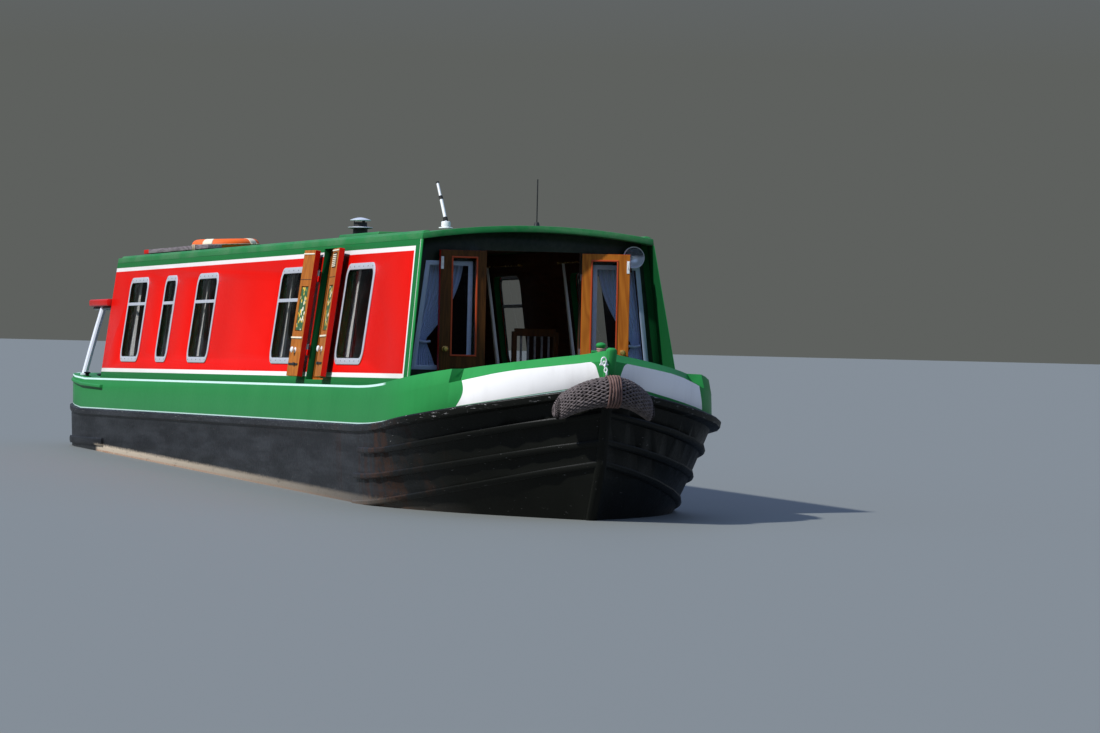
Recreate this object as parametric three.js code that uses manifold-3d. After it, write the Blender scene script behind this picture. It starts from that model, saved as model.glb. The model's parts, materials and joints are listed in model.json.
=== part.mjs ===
// A steel narrowboat, 45 ft class, with an open stern deck, a well deck at the bow and a steel cabin.
// Millimetres, +X to the bow, +Y to port, +Z up. Heights count from the underside of the base plate.
// Lengths along the boat count from the foot of the cabin side's front edge, until the last group shifts them.
import * as THREE from 'three';
import { mergeVertices } from 'three/addons/utils/BufferGeometryUtils.js';
import Module from 'manifold-3d';

// Driving dimensions of the hull
const GAP = 0.3;
const PLATE = 12;
const WALL = 40;
const GUNWALE = 1130;
const STRAKE_DROP = 251;
const BEAM_BASE = 1003;
const BEAM_STRAKE = 1040;
const STERN_SHOULDER = -11030;
const STERN_END = -12150;
const STERN_RISE = 40;
const STERN_RISE_START = -10700;
const STERN_RISE_END = -11500;
const BOW_RISE_START = -1000;
const BOW_RISE_LENGTH = 2500;
const GUNWALE_RISE = 241;
const GUNWALE_CURVE = 2.29;
const STRAKE_RISE = 280;
const STRAKE_CURVE = 2.75;
const SIDE_DECK = 170;
const COUNTER_Z = 500;
const SWIM_START = -9250;
const STERN_POST = -11300;
const WELL_FLOOR_Z = 580;
const CABIN_FLOOR_Z = 150;
const STERN_DECK_Z = 1060;

// Driving dimensions of the cabin
const SIDE_FOOT = 893;
const TUMBLE = 0.132;
const SIDE_THICK = 50;
const SIDE_HEIGHT = 983;
const ROOF_THICK = 40;
const ROOF_CAMBER = 63;
const CABIN_AFT = -10630;
const FRONT_FOOT = 45;
const FRONT_TOP = -170;
const FRONT_BULKHEAD = -300;
const BULKHEAD_THICK = 40;
const WINDOW_LOW = 157;
const WINDOW_HIGH = 790;
const WINDOW_RADIUS = 75;

// Joint and door dimensions
const LEAF_THICK = 38;
const LEAF_GAP = 6;
const HINGE_OUT = 10;
const HINGE_RADIUS = 7;
const STOCK_X = -11750;
const SHAFT_Z = 262;
const PROPELLER_X = -11446;
const PROPELLER_RADIUS = 205;

const wasm = await Module();
wasm.setup();

// Solids: every shape is a closed indexed mesh with its faces pointing out
function closed(geometry) {
  geometry.deleteAttribute('normal');
  geometry.deleteAttribute('uv');
  const merged = mergeVertices(geometry, 1e-3);
  const p = merged.attributes.position;
  const index = merged.index.array;
  const a = new THREE.Vector3();
  const b = new THREE.Vector3();
  const c = new THREE.Vector3();
  let volume = 0;
  for (let i = 0; i < index.length; i += 3) {
    a.fromBufferAttribute(p, index[i]);
    b.fromBufferAttribute(p, index[i + 1]);
    c.fromBufferAttribute(p, index[i + 2]);
    volume += a.dot(b.cross(c));
  }
  if (volume < 0) {
    for (let i = 0; i < index.length; i += 3) {
      const swap = index[i + 1];
      index[i + 1] = index[i + 2];
      index[i + 2] = swap;
    }
  }
  merged.computeVertexNormals();
  return merged;
}

function toManifold(geometry) {
  const g = closed(geometry.clone());
  return new wasm.Manifold(new wasm.Mesh({
    numProp: 3,
    vertProperties: new Float32Array(g.attributes.position.array),
    triVerts: new Uint32Array(g.index.array),
  }));
}

function fromManifold(solid) {
  const mesh = solid.getMesh();
  const g = new THREE.BufferGeometry();
  g.setAttribute('position', new THREE.BufferAttribute(new Float32Array(mesh.vertProperties), 3));
  g.setIndex(Array.from(mesh.triVerts));
  return closed(g);
}

function join(first, ...others) {
  return fromManifold(others.reduce((sum, g) => sum.add(toManifold(g)), toManifold(first)));
}

function cut(body, ...tools) {
  return fromManifold(tools.reduce((rest, g) => rest.subtract(toManifold(g)), toManifold(body)));
}

function box(x0, x1, y0, y1, z0, z1) {
  const g = new THREE.BoxGeometry(x1 - x0, y1 - y0, z1 - z0);
  return closed(g.translate((x0 + x1) / 2, (y0 + y1) / 2, (z0 + z1) / 2));
}

// A cylinder between two heights, standing at x, y
function post(x, y, z0, z1, radius, sides = 16, radiusTop = radius) {
  const g = new THREE.CylinderGeometry(radiusTop, radius, z1 - z0, sides);
  return closed(g.rotateX(Math.PI / 2).translate(x, y, (z0 + z1) / 2));
}

// A solid of revolution about a vertical axis, from pairs of radius and height
function turned(profile, sides = 24) {
  const points = profile.map(([r, z]) => new THREE.Vector2(r, z));
  return closed(new THREE.LatheGeometry(points, sides).rotateX(Math.PI / 2));
}

// A round bar along a path
function bar(points, radius, sides = 10, steps = 0) {
  const path = new THREE.CatmullRomCurve3(points.map(([x, y, z]) => new THREE.Vector3(x, y, z)), false, 'centripetal');
  const shape = new THREE.Shape();
  for (let i = 0; i < sides; i += 1) {
    const angle = (i / sides) * 2 * Math.PI;
    const at = [radius * Math.cos(angle), radius * Math.sin(angle)];
    if (i === 0) shape.moveTo(...at);
    else shape.lineTo(...at);
  }
  return closed(new THREE.ExtrudeGeometry(shape, { steps: steps || points.length * 4, extrudePath: path }));
}

function quads(rows, columns, wrapRows) {
  const index = [];
  const last = wrapRows ? rows : rows - 1;
  for (let i = 0; i < last; i += 1) {
    for (let j = 0; j < columns; j += 1) {
      const a = i * columns + j;
      const b = ((i + 1) % rows) * columns + j;
      const c = ((i + 1) % rows) * columns + ((j + 1) % columns);
      const d = i * columns + ((j + 1) % columns);
      index.push(a, b, c, a, c, d);
    }
  }
  return index;
}

function meshOf(rings, index) {
  const g = new THREE.BufferGeometry();
  g.setAttribute('position', new THREE.BufferAttribute(new Float32Array(rings.flat(2)), 3));
  g.setIndex(index);
  return closed(g);
}

// A closed band: every ring is a closed section, and the last ring meets the first
function band(rings) {
  return meshOf(rings, quads(rings.length, rings[0].length, true));
}

// A loft with its two end rings closed by fans
function loft(rings) {
  const columns = rings[0].length;
  const index = quads(rings.length, columns, false);
  const end = (rings.length - 1) * columns;
  for (let j = 1; j < columns - 1; j += 1) {
    index.push(0, j, j + 1);
    index.push(end, end + j + 1, end + j);
  }
  return meshOf(rings, index);
}

function shapeOf(points, holes = []) {
  const shape = new THREE.Shape(points.map(([u, v]) => new THREE.Vector2(u, v)));
  for (const hole of holes) {
    shape.holes.push(new THREE.Path(hole.map(([u, v]) => new THREE.Vector2(u, v))));
  }
  return shape;
}

// A slab of an outline drawn in X and Y, between two heights
function slabZ(points, z0, z1, holes = []) {
  const g = new THREE.ExtrudeGeometry(shapeOf(points, holes), { depth: z1 - z0, bevelEnabled: false });
  return closed(g.translate(0, 0, z0));
}

// A slab of an outline drawn in Y and Z, between two stations along the boat
function slabX(points, x0, x1, holes = []) {
  const g = new THREE.ExtrudeGeometry(shapeOf(points, holes), { depth: x1 - x0, bevelEnabled: false });
  const turn = new THREE.Matrix4().set(0, 0, 1, x0, 1, 0, 0, 0, 0, 1, 0, 0, 0, 0, 0, 1);
  return closed(g.applyMatrix4(turn));
}

// A slab on the cabin side: drawn in X and height above the gunwale, between two depths out of the side
function slabSide(side, points, out0, out1, holes = []) {
  const g = new THREE.ExtrudeGeometry(shapeOf(points, holes), { depth: out1 - out0, bevelEnabled: false });
  const p = g.attributes.position;
  for (let i = 0; i < p.count; i += 1) {
    const x = p.getX(i);
    const up = p.getY(i);
    const out = out0 + p.getZ(i);
    p.setXYZ(i, x, side * (SIDE_FOOT - TUMBLE * up + out), GUNWALE + up);
  }
  return closed(g);
}

function rounded(u0, u1, v0, v1, radius, steps = 3) {
  const points = [];
  const corners = [[u1 - radius, v1 - radius, 0], [u0 + radius, v1 - radius, 1],
    [u0 + radius, v0 + radius, 2], [u1 - radius, v0 + radius, 3]];
  for (const [cu, cv, quarter] of corners) {
    for (let i = 0; i <= steps; i += 1) {
      const angle = (quarter + i / steps) * (Math.PI / 2);
      points.push([cu + radius * Math.cos(angle), cv + radius * Math.sin(angle)]);
    }
  }
  return points;
}

function rectangle(u0, u1, v0, v1) {
  return [[u0, v0], [u1, v0], [u1, v1], [u0, v1]];
}

// The hull's lines. Each table row: height, stem position, bow shoulder, bow exponent
const LINES = [
  { z: 0, stem: 900, shoulder: -1100, power: 1.9 },
  { z: 350, stem: 1240, shoulder: -750, power: 2.0 },
  { z: 590, stem: 1394, shoulder: -440, power: 2.22 },
  { z: 930, stem: 1480, shoulder: 50, power: 2.5 },
  { z: 1030, stem: 1496, shoulder: 50, power: 2.5 },
  { z: 1400, stem: 1597, shoulder: 50, power: 2.5 },
];

function lines(z) {
  const first = LINES.findIndex((row) => row.z > z);
  const high = LINES[first < 0 ? LINES.length - 1 : Math.max(first, 1)];
  const low = LINES[LINES.indexOf(high) - 1];
  const t = (z - low.z) / (high.z - low.z);
  const mix = (key) => low[key] + t * (high[key] - low[key]);
  return { stem: mix('stem'), shoulder: mix('shoulder'), power: mix('power') };
}

function halfBeam(z) {
  const t = Math.min(z / (GUNWALE - STRAKE_DROP), 1);
  return BEAM_BASE + t * (BEAM_STRAKE - BEAM_BASE);
}

function rise(x, bowRise, curve) {
  const bow = Math.min(Math.max((x - BOW_RISE_START) / BOW_RISE_LENGTH, 0), 1.05);
  const stern = Math.min(Math.max((STERN_RISE_START - x) / (STERN_RISE_START - STERN_RISE_END), 0), 1);
  return bowRise * bow ** curve + STERN_RISE * stern;
}

const gunwaleZ = (x) => GUNWALE + rise(x, GUNWALE_RISE, GUNWALE_CURVE);
const strakeZ = (x) => GUNWALE - STRAKE_DROP + rise(x, STRAKE_RISE, STRAKE_CURVE);

// Plan stations of the port side, from the stern's middle to the stem: part, and how far along it
const STEP_AFT = 0.526;
const STEP_FORE = 0.538;
const SIDE_STATIONS = [STERN_SHOULDER, -10700, -9700, -9252, -9248, -6000];
const RUN_START = -3000;
const RUN_STATIONS = [0, 0.65, 0.78, 0.9];
const STATIONS = [
  ...[90, 75, 60, 45, 30, 15].map((degrees) => ['stern', degrees]),
  ...SIDE_STATIONS.map((x) => ['side', x]),
  ...RUN_STATIONS.map((t) => ['run', t]),
  ...[0, 0.12, 0.24, 0.36, 0.46, STEP_AFT, STEP_FORE, 0.61, 0.69, 0.77, 0.85, 0.93, 1]
    .map((t) => ['bow', t]),
];

// The point of a station at a height, moved out of the hull by an offset
function planPoint([part, at], z, offset = 0) {
  const beam = halfBeam(z);
  const { stem, shoulder, power } = lines(z);
  if (part === 'stern') {
    const angle = THREE.MathUtils.degToRad(at);
    const long = STERN_SHOULDER - STERN_END;
    const normal = new THREE.Vector2(-beam * Math.sin(angle), long * Math.cos(angle)).normalize();
    return [STERN_SHOULDER - long * Math.sin(angle) + offset * normal.x, beam * Math.cos(angle) + offset * normal.y];
  }
  if (part === 'side') return [at, beam + offset];
  if (part === 'run') return [RUN_START + at * (shoulder - RUN_START), beam + offset];
  const long = stem - shoulder;
  const x = shoulder + at * long;
  const y = beam * (1 - at ** power);
  const normal = new THREE.Vector2(beam * power * at ** (power - 1), long).normalize();
  if (at === 1) return [x + offset / normal.x, 0];
  return [x + offset * normal.x, Math.max(y + offset * normal.y, 2)];
}

// A section runs round all stations: port side forward, then the starboard side back
function roundHull(section) {
  const port = STATIONS.map((station) => section(station));
  const starboard = port.slice(1, -1).reverse().map((ring) => ring.map(([x, y, z]) => [x, -y, z]));
  return [...port, ...starboard];
}

// Half width of the hull at x and z, moved by an offset, along the straight lines between the stations
function halfWidthAt(x, z, offset) {
  const points = STATIONS.map((station) => planPoint(station, z, offset));
  for (let i = 0; i < points.length - 1; i += 1) {
    const [xa, ya] = points[i];
    const [xb, yb] = points[i + 1];
    if (x >= xa && x <= xb && xb > xa) return ya + ((x - xa) / (xb - xa)) * (yb - ya);
  }
  return 0;
}

// A plan outline at a height between two places along the boat, moved by an offset
function planOutline(z, x0, x1, offset) {
  const within = STATIONS.map((station) => planPoint(station, z, offset)).filter(([x]) => x > x0 + 5 && x < x1 - 5);
  const port = [[x0, halfWidthAt(x0, z, offset)], ...within, [x1, halfWidthAt(x1, z, offset)]];
  const starboard = port.slice().reverse().map(([x, y]) => [x, -y]);
  return [...port.filter(([, y]) => y > 1), ...starboard.filter(([, y]) => y < -1)];
}

// Lower hull: sides with the top guard, strakes and stem bar
const GUARD_OUT = { stern: 12, side: 20, bow: 60, stem: 28.5 };
const GUARD_HIGH = 46;
const TOP_WALL = 34;

// The guard stands out most along the bow, less at the stem and least round the stern
function guardOut([part, at]) {
  if (part === 'stern') return GUARD_OUT.stern;
  if (part !== 'bow') return GUARD_OUT.side;
  const swell = Math.min(at / 0.3, 1) * (GUARD_OUT.bow - GUARD_OUT.side);
  const taper = Math.max(at - 0.7, 0) / 0.3 * (GUARD_OUT.bow - GUARD_OUT.stem);
  return GUARD_OUT.side + swell - taper;
}

function lowerSection(station) {
  const counter = station[0] === 'stern' || (station[0] === 'side' && station[1] < SWIM_START);
  const foot = counter ? COUNTER_Z : PLATE + GAP;
  const water = counter ? COUNTER_Z + 60 : 350;
  const [x] = planPoint(station, GUNWALE);
  const top = strakeZ(x);
  const at = (z, offset) => {
    const [px, py] = planPoint(station, z, offset);
    return [px, py, z];
  };
  const out = guardOut(station);
  return [at(foot, 0), at(water, 0), at(590 + (counter ? 30 : 0), 0), at(top - GUARD_HIGH - 14, 0),
    at(top - GUARD_HIGH, out), at(top - 10, out), at(top, out - 8),
    at(top, 0), at(top, -TOP_WALL), at(top, -WALL), at(590 + (counter ? 30 : 0), -WALL), at(water, -WALL), at(foot, -WALL)];
}

// A bar round the bow, from a start along the side to the stem and back on the other side
function bowStrake({ start, low, high, tall, proud }) {
  const bowStations = [0, 0.15, 0.3, 0.45, 0.6, 0.75, 0.88, 1].map((t) => ['bow', t]);
  const ring = (station, t) => {
    const z = low + (high - low) * t ** 1.7;
    const at = (dz, offset) => {
      const [px, py] = planPoint(station, z + dz, offset);
      return [px, py, z + dz];
    };
    return [at(-tall / 2, -12), at(-tall / 2, proud - 6), at(-tall / 4, proud), at(tall / 4, proud),
      at(tall / 2, proud - 6), at(tall / 2, -12)];
  };
  const rings = bowStations.map((station) => ring(station, station[1]));
  const first = rings[0].map(([, y, z]) => [start, y, z]);
  const port = [first, ...rings];
  const starboard = port.slice(0, -1).reverse().map((r) => r.map(([x, y, z]) => [x, -y, z]));
  return loft([...port, ...starboard]);
}

const BOW_STRAKES = [
  { start: -800, low: 370, high: 690, tall: 40, proud: 26 },
  { start: -760, low: 548, high: 820, tall: 40, proud: 26 },
  { start: -620, low: 716, high: 992, tall: 40, proud: 26 },
];

// A strip round the stern, centred a drop below the deck edge's height: from the hull's skin out to proud.
// Its fore end stands lower by the dip.
function sternStrip({ start, drop, dip, tall, root, proud, follows }) {
  const stations = [['side', start], ['side', -10700], ['side', STERN_SHOULDER],
    ...[15, 30, 45, 60, 75, 90].map((degrees) => ['stern', degrees])];
  const rings = stations.map((station) => {
    const [x] = planPoint(station, GUNWALE);
    const fore = Math.max(x - STERN_SHOULDER, 0) / (start - STERN_SHOULDER);
    const z = (follows ? gunwaleZ(x) : GUNWALE) - drop - dip * fore;
    const at = (dz, offset) => [...planPoint(station, z + dz, offset), z + dz];
    return [at(-tall / 2, root), at(-tall / 2, proud - 6), at(-tall / 4, proud), at(tall / 4, proud),
      at(tall / 2, proud - 6), at(tall / 2, root)];
  });
  const starboard = rings.slice(0, -1).reverse().map((r) => r.map(([x, y, z]) => [x, -y, z]));
  return loft([...rings, ...starboard]);
}

const LOW_STRIP = { start: -9700, drop: 515, dip: 0, tall: 60, root: -12, proud: 20, follows: false };
const TOP_STRIP = { start: -9835, drop: 50, dip: 20, tall: 28, root: -42, proud: 5, follows: true };

// The stem's rounded bar between two heights, with a domed end when it is the head
function stemBar(z0, z1, headed) {
  const radius = 37;
  const heights = [z0, z0 + (z1 - z0) * 0.3, z0 + (z1 - z0) * 0.6, z1 - (headed ? 24 : 0)];
  const section = (z, r) => {
    const { stem } = lines(z);
    return Array.from({ length: 12 }, (_, i) => {
      const angle = (i / 12) * 2 * Math.PI;
      return [stem - 8 + r * Math.cos(angle), r * Math.sin(angle), z];
    });
  };
  const rings = heights.map((z) => section(z, radius));
  if (headed) {
    rings.push(section(z1 - 10, radius * 0.86));
    rings.push(section(z1, radius * 0.5));
  }
  return loft(rings);
}

const stemX = lines(GUNWALE).stem;
const stemTop = gunwaleZ(lines(GUNWALE + GUNWALE_RISE).stem);
const lowerHull = join(band(roundHull(lowerSection)), ...BOW_STRAKES.map(bowStrake), sternStrip(LOW_STRIP),
  stemBar(PLATE + GAP, strakeZ(stemX) - 42, false));

// Topsides: the green band from the guard up to the side decks. Forward of the step their upper part is set in
// on a narrow ledge.

// How far the topsides stand in from the hull's lines: at foot, below and above the crease, and at the top.
// The crease lies a drop below the top.
function topInset([part, at]) {
  if (part === 'stern' || at === STERN_SHOULDER) return { foot: 12, low: 10, mid: 10, top: 8, drop: 107 };
  if (part !== 'bow') return { foot: 0, low: 17, mid: 17, top: 30, drop: 107 };
  if (at >= STEP_FORE) {
    const t = Math.min((at - STEP_FORE) / 0.2, 1);
    return { foot: 0, low: 8, mid: 80, top: 120, drop: 83 - 29 * t };
  }
  const t = at / STEP_AFT;
  return { foot: 0, low: 17 - 9 * t, mid: 17 - 9 * t, top: 30 + 2 * t, drop: 107 - 24 * t };
}

function topSection(station) {
  const [x] = planPoint(station, GUNWALE);
  const foot = strakeZ(x) + GAP;
  const top = gunwaleZ(x);
  const { foot: insetFoot, low, mid, top: insetTop, drop } = topInset(station);
  const at = (z, offset) => [...planPoint(station, z, offset), z];
  const forward = station[0] === 'bow' && station[1] > 0.3;
  const deck = forward ? insetTop + 46 : SIDE_DECK + 30;
  return [at(foot, -insetFoot), at(foot, -TOP_WALL), at(top - drop, -mid - 30), at(top - 8, -insetTop - 30),
    at(top - 8, -deck), at(top, -deck), at(top, -insetTop), at(top - drop, -mid), at(top - drop - 4, -low)];
}

// Low mooring dollies on the stern's side decks
const DOLLY = { x: -10850, y: 962 };
function dolly(side) {
  return turned([[0, -6], [34, -6], [34, 4], [16, 6], [15, 22], [28, 27], [28, 33], [18, 38], [0, 40]], 16)
    .translate(DOLLY.x, side * DOLLY.y, gunwaleZ(DOLLY.x));
}

const topsides = join(band(roundHull(topSection)), sternStrip(TOP_STRIP),
  stemBar(strakeZ(stemX) + 2, stemTop + 4, true), dolly(1), dolly(-1));

// Base plate, with a skeg that carries the rudder's foot
const basePlate = join(
  slabZ(planOutline(PLATE, SWIM_START, 880, 18), 0, PLATE),
  slabZ([[SWIM_START + 5, 1000], [-10200, 620], [-10900, 220], [STERN_POST - 30, 40], [STERN_POST - 30, -40],
    [-10900, -220], [-10200, -620], [SWIM_START + 5, -1000]], 0, PLATE),
  box(STOCK_X - 70, STERN_POST - 2, -40, 40, 0, 22),
  post(STOCK_X, 0, 0, 36, 34),
);

// Swim: the underwater body that narrows to the stern post, with the shaft's boss
const SWIM_LINE = [[SWIM_START - 2, 1000], [-9700, 940], [-10200, 740], [-10700, 430], [-11050, 170], [STERN_POST, 34]];
const shaftBore = new THREE.CylinderGeometry(17, 17, 400, 24).rotateZ(Math.PI / 2)
  .translate(STERN_POST - 20, 0, SHAFT_Z);
const swim = cut(join(
  slabZ([...SWIM_LINE, ...SWIM_LINE.slice().reverse().map(([x, y]) => [x, -y])], PLATE + GAP, COUNTER_Z - GAP),
  closed(new THREE.CylinderGeometry(46, 46, 120, 16).rotateZ(Math.PI / 2).translate(STERN_POST - 15, 0, SHAFT_Z)),
), shaftBore);

// Counter plate over the swim, with the rudder tube up to the stern deck
const tubeHole = new THREE.CylinderGeometry(26, 26, 2000, 16).rotateX(Math.PI / 2).translate(STOCK_X, 0, 900);
const counterPlate = cut(join(
  slabZ(planOutline(COUNTER_Z + 6, STERN_END + 42, SWIM_START - 8, -WALL - GAP), COUNTER_Z, COUNTER_Z + PLATE),
  post(STOCK_X, 0, COUNTER_Z + 4, STERN_DECK_Z + 60, 38),
), tubeHole);

const tubeClear = new THREE.CylinderGeometry(39, 39, 400, 16).rotateX(Math.PI / 2)
  .translate(STOCK_X, 0, STERN_DECK_Z);
const sternDeck = cut(
  slabZ(planOutline(STERN_DECK_Z, STERN_END + 72, CABIN_AFT - GAP, -66), STERN_DECK_Z, STERN_DECK_Z + 20),
  tubeClear,
);

const engine = box(-11500, -10700, -280, 280, COUNTER_Z + PLATE + GAP, 980);
const ballast = box(SWIM_START + 60, -450, -800, 800, PLATE + GAP, CABIN_FLOOR_Z - GAP);
const cabinFloor = slabZ(planOutline(CABIN_FLOOR_Z + 12, SWIM_START + 5, FRONT_BULKHEAD - BULKHEAD_THICK - 5, -WALL - 6),
  CABIN_FLOOR_Z, CABIN_FLOOR_Z + 25);

// Well deck and fore deck
const DECK_EDGE = 950;
const wellFloor = slabZ(planOutline(WELL_FLOOR_Z, FRONT_BULKHEAD + GAP, 1290, -WALL - 6),
  WELL_FLOOR_Z, WELL_FLOOR_Z + 20);

function foreDeckBody() {
  const rings = [];
  for (const x of [DECK_EDGE, 1060, 1170, 1270, 1350, 1410]) {
    const z = gunwaleZ(x) - 12;
    const half = halfWidthAt(x, gunwaleZ(x) - 20, -154);
    rings.push([[x, half, z], [x, half * 0.5, z + 10], [x, -half * 0.5, z + 10], [x, -half, z],
      [x, -half, z - 14], [x, half, z - 14]]);
  }
  const z = gunwaleZ(DECK_EDGE) - 12;
  const knee = strakeZ(DECK_EDGE + 20);
  const half = halfWidthAt(DECK_EDGE + 20, knee, -WALL - 20);
  const low = halfWidthAt(DECK_EDGE + 20, 590, -WALL - 20);
  const top = halfWidthAt(DECK_EDGE + 20, z - 20, -170);
  const locker = slabX([[-low, WELL_FLOOR_Z + 20 + GAP], [low, WELL_FLOOR_Z + 20 + GAP], [half, knee],
    [top, z - 4], [-top, z - 4], [-half, knee]], DECK_EDGE, DECK_EDGE + 20);
  const studX = 1350;
  const studZ = gunwaleZ(studX) - 10;
  const stud = turned([[0, -10], [20, -10], [16, 60], [30, 74], [32, 84], [22, 96], [0, 100]], 16)
    .translate(studX, 0, studZ);
  const arm = closed(new THREE.CylinderGeometry(9, 9, 120, 10).translate(studX, 0, studZ + 40));
  return join(loft(rings), locker, stud, arm);
}
const foreDeck = foreDeckBody();

// Cabin sides. Windows by their aft and fore edges; the hatch opening is on the starboard side
const WINDOWS = [
  { name: '1', aft: -9860, fore: -9130, opens: true },
  { name: '2', aft: -8400, fore: -7970, opens: true },
  { name: '3', aft: -7140, fore: -6400, opens: true },
  { name: '4', aft: -4170, fore: -3430, opens: true },
  { name: '5', aft: -2120, fore: -1340, opens: false },
];
const HATCH = { aft: -2950, fore: -2410, low: 30, high: 926 };
const SIDE_TOP = SIDE_HEIGHT - ROOF_THICK - GAP;
const frontAt = (up) => FRONT_FOOT + (FRONT_TOP - FRONT_FOOT) * (up / SIDE_HEIGHT);

// Hinges: leaves drawn closed in their own frame, axis up Z, leaf along +X, outside face to +Y
function leafHinge(heights) {
  return heights.map((z) => join(
    closed(new THREE.CylinderGeometry(HINGE_RADIUS, HINGE_RADIUS, 40, 8).rotateX(Math.PI / 2).translate(0, 0, z + 20.4)),
    box(1, 60, -HINGE_OUT - 2, -HINGE_OUT + 6, z + 0.6, z + 40),
  ));
}

function jambHinge(heights) {
  return heights.map((z) => join(
    closed(new THREE.CylinderGeometry(HINGE_RADIUS, HINGE_RADIUS, 40, 8).rotateX(Math.PI / 2).translate(0, 0, z - 20)),
    box(-HINGE_RADIUS, 0.5, -HINGE_OUT - 8, -HINGE_OUT + 8, z - 40, z),
  ));
}

// Frame of a hinge: where its axis starts, the way into the opening, the way out of the wall
function hingeFrame(origin, along, up) {
  const x = new THREE.Vector3(...along).normalize();
  const z = new THREE.Vector3(...up).normalize();
  const y = new THREE.Vector3().crossVectors(z, x).normalize();
  const flip = y.clone();
  return { origin, x, y: flip, z };
}

function place(geometry, frame, degrees = 0) {
  const turn = new THREE.Matrix4().makeRotationZ(THREE.MathUtils.degToRad(degrees));
  const basis = new THREE.Matrix4().makeBasis(frame.x, frame.y, frame.z);
  basis.setPosition(...frame.origin);
  return closed(geometry.clone().applyMatrix4(turn).applyMatrix4(basis));
}

// A leaf with a glazed or panelled recess, drawn in its hinge frame; hand -1 mirrors it
function leafBody({ width, height, pane, hinges, hand }) {
  const inner = -HINGE_OUT - LEAF_THICK;
  let g = box(LEAF_GAP, LEAF_GAP + width, inner, -HINGE_OUT, 0, height);
  if (pane) {
    const [u0, u1, v0, v1] = pane;
    g = cut(g, box(u0, u1, inner - 1, inner + 15, v0, v1), box(u0, u1, -HINGE_OUT - 15, -HINGE_OUT + 1, v0, v1));
  }
  g = join(g, ...leafHinge(hinges));
  return hand < 0 ? closed(g.scale(1, -1, 1)) : g;
}

// Side hatch frames: the axis leans with the cabin side
const SIDE_UP = [0, TUMBLE, 1];
const hatchY = -(SIDE_FOOT - TUMBLE * HATCH.low) - HINGE_OUT;
const hatchZ = GUNWALE + HATCH.low + 14;
const HATCH_LEAF = { width: (HATCH.fore - HATCH.aft) / 2 - LEAF_GAP - 3, height: 874, hinges: [190, 700] };
const hatchFrames = {
  aft: hingeFrame([HATCH.aft, hatchY, hatchZ], [1, 0, 0], SIDE_UP),
  fore: hingeFrame([HATCH.fore, hatchY, hatchZ], [-1, 0, 0], SIDE_UP),
};
// With the way into the opening along +X, the frame's Y points to port, so the aft leaf is mirrored
const hatchHand = { aft: -1, fore: 1 };

function mirrored(list, hand) {
  return list.map((g) => (hand < 0 ? closed(g.scale(1, -1, 1)) : g));
}

function cabinSide(side) {
  const deckUp = (x) => gunwaleZ(x) - GUNWALE + GAP;
  const foot = RUN_STATIONS.map((t) => planPoint(['run', t], GUNWALE)[0]).map((x) => [x, deckUp(x)]);
  const outline = [[CABIN_AFT, GAP], ...foot, [FRONT_FOOT, deckUp(50)], [frontAt(SIDE_TOP), SIDE_TOP],
    [CABIN_AFT, SIDE_TOP]];
  const holes = WINDOWS.map(({ aft, fore }) => rounded(aft, fore, WINDOW_LOW, WINDOW_HIGH, WINDOW_RADIUS));
  if (side < 0) holes.push(rectangle(HATCH.aft, HATCH.fore, HATCH.low, HATCH.high));
  let g = slabSide(side, outline, -SIDE_THICK, 0, holes);
  if (side < 0) {
    for (const end of ['aft', 'fore']) {
      const fixed = mirrored(jambHinge(HATCH_LEAF.hinges), hatchHand[end]);
      g = join(g, ...fixed.map((hinge) => place(hinge, hatchFrames[end])));
    }
  }
  return g;
}

function windowUnit(side, { aft, fore, opens }) {
  const flange = 22;
  const proud = 7;
  const clear = 0.5;
  const ring = slabSide(side,
    rounded(aft - flange, fore + flange, WINDOW_LOW - flange, WINDOW_HIGH + flange, WINDOW_RADIUS + flange),
    GAP, proud,
    [rounded(aft + 18, fore - 18, WINDOW_LOW + 18, WINDOW_HIGH - 18, WINDOW_RADIUS - 18)]);
  const pane = slabSide(side,
    rounded(aft + clear, fore - clear, WINDOW_LOW + clear, WINDOW_HIGH - clear, WINDOW_RADIUS - clear), -8, 4);
  const barUp = WINDOW_HIGH - (WINDOW_HIGH - WINDOW_LOW) / 3;
  const transom = slabSide(side, rectangle(aft + 10, fore - 10, barUp - 12, barUp + 12), -2, proud);
  return opens ? join(ring, pane, transom) : join(ring, pane);
}

// Roof with its handrails and the slide's opening
const SLIDE = { aft: -10630, fore: -9980, half: 320, travel: 600 };
const roofHalf = SIDE_FOOT - TUMBLE * SIDE_HEIGHT;
const roofFoot = SIDE_FOOT - TUMBLE * (SIDE_HEIGHT - ROOF_THICK);
const roofTop = (y) => GUNWALE + SIDE_HEIGHT + ROOF_CAMBER * (1 - (y / roofHalf) ** 2);

function arc(half, base, camber, steps = 12) {
  return Array.from({ length: steps + 1 }, (_, i) => {
    const y = -half + (i / steps) * 2 * half;
    return [y, base + camber * (1 - (y / half) ** 2)];
  });
}

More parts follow.
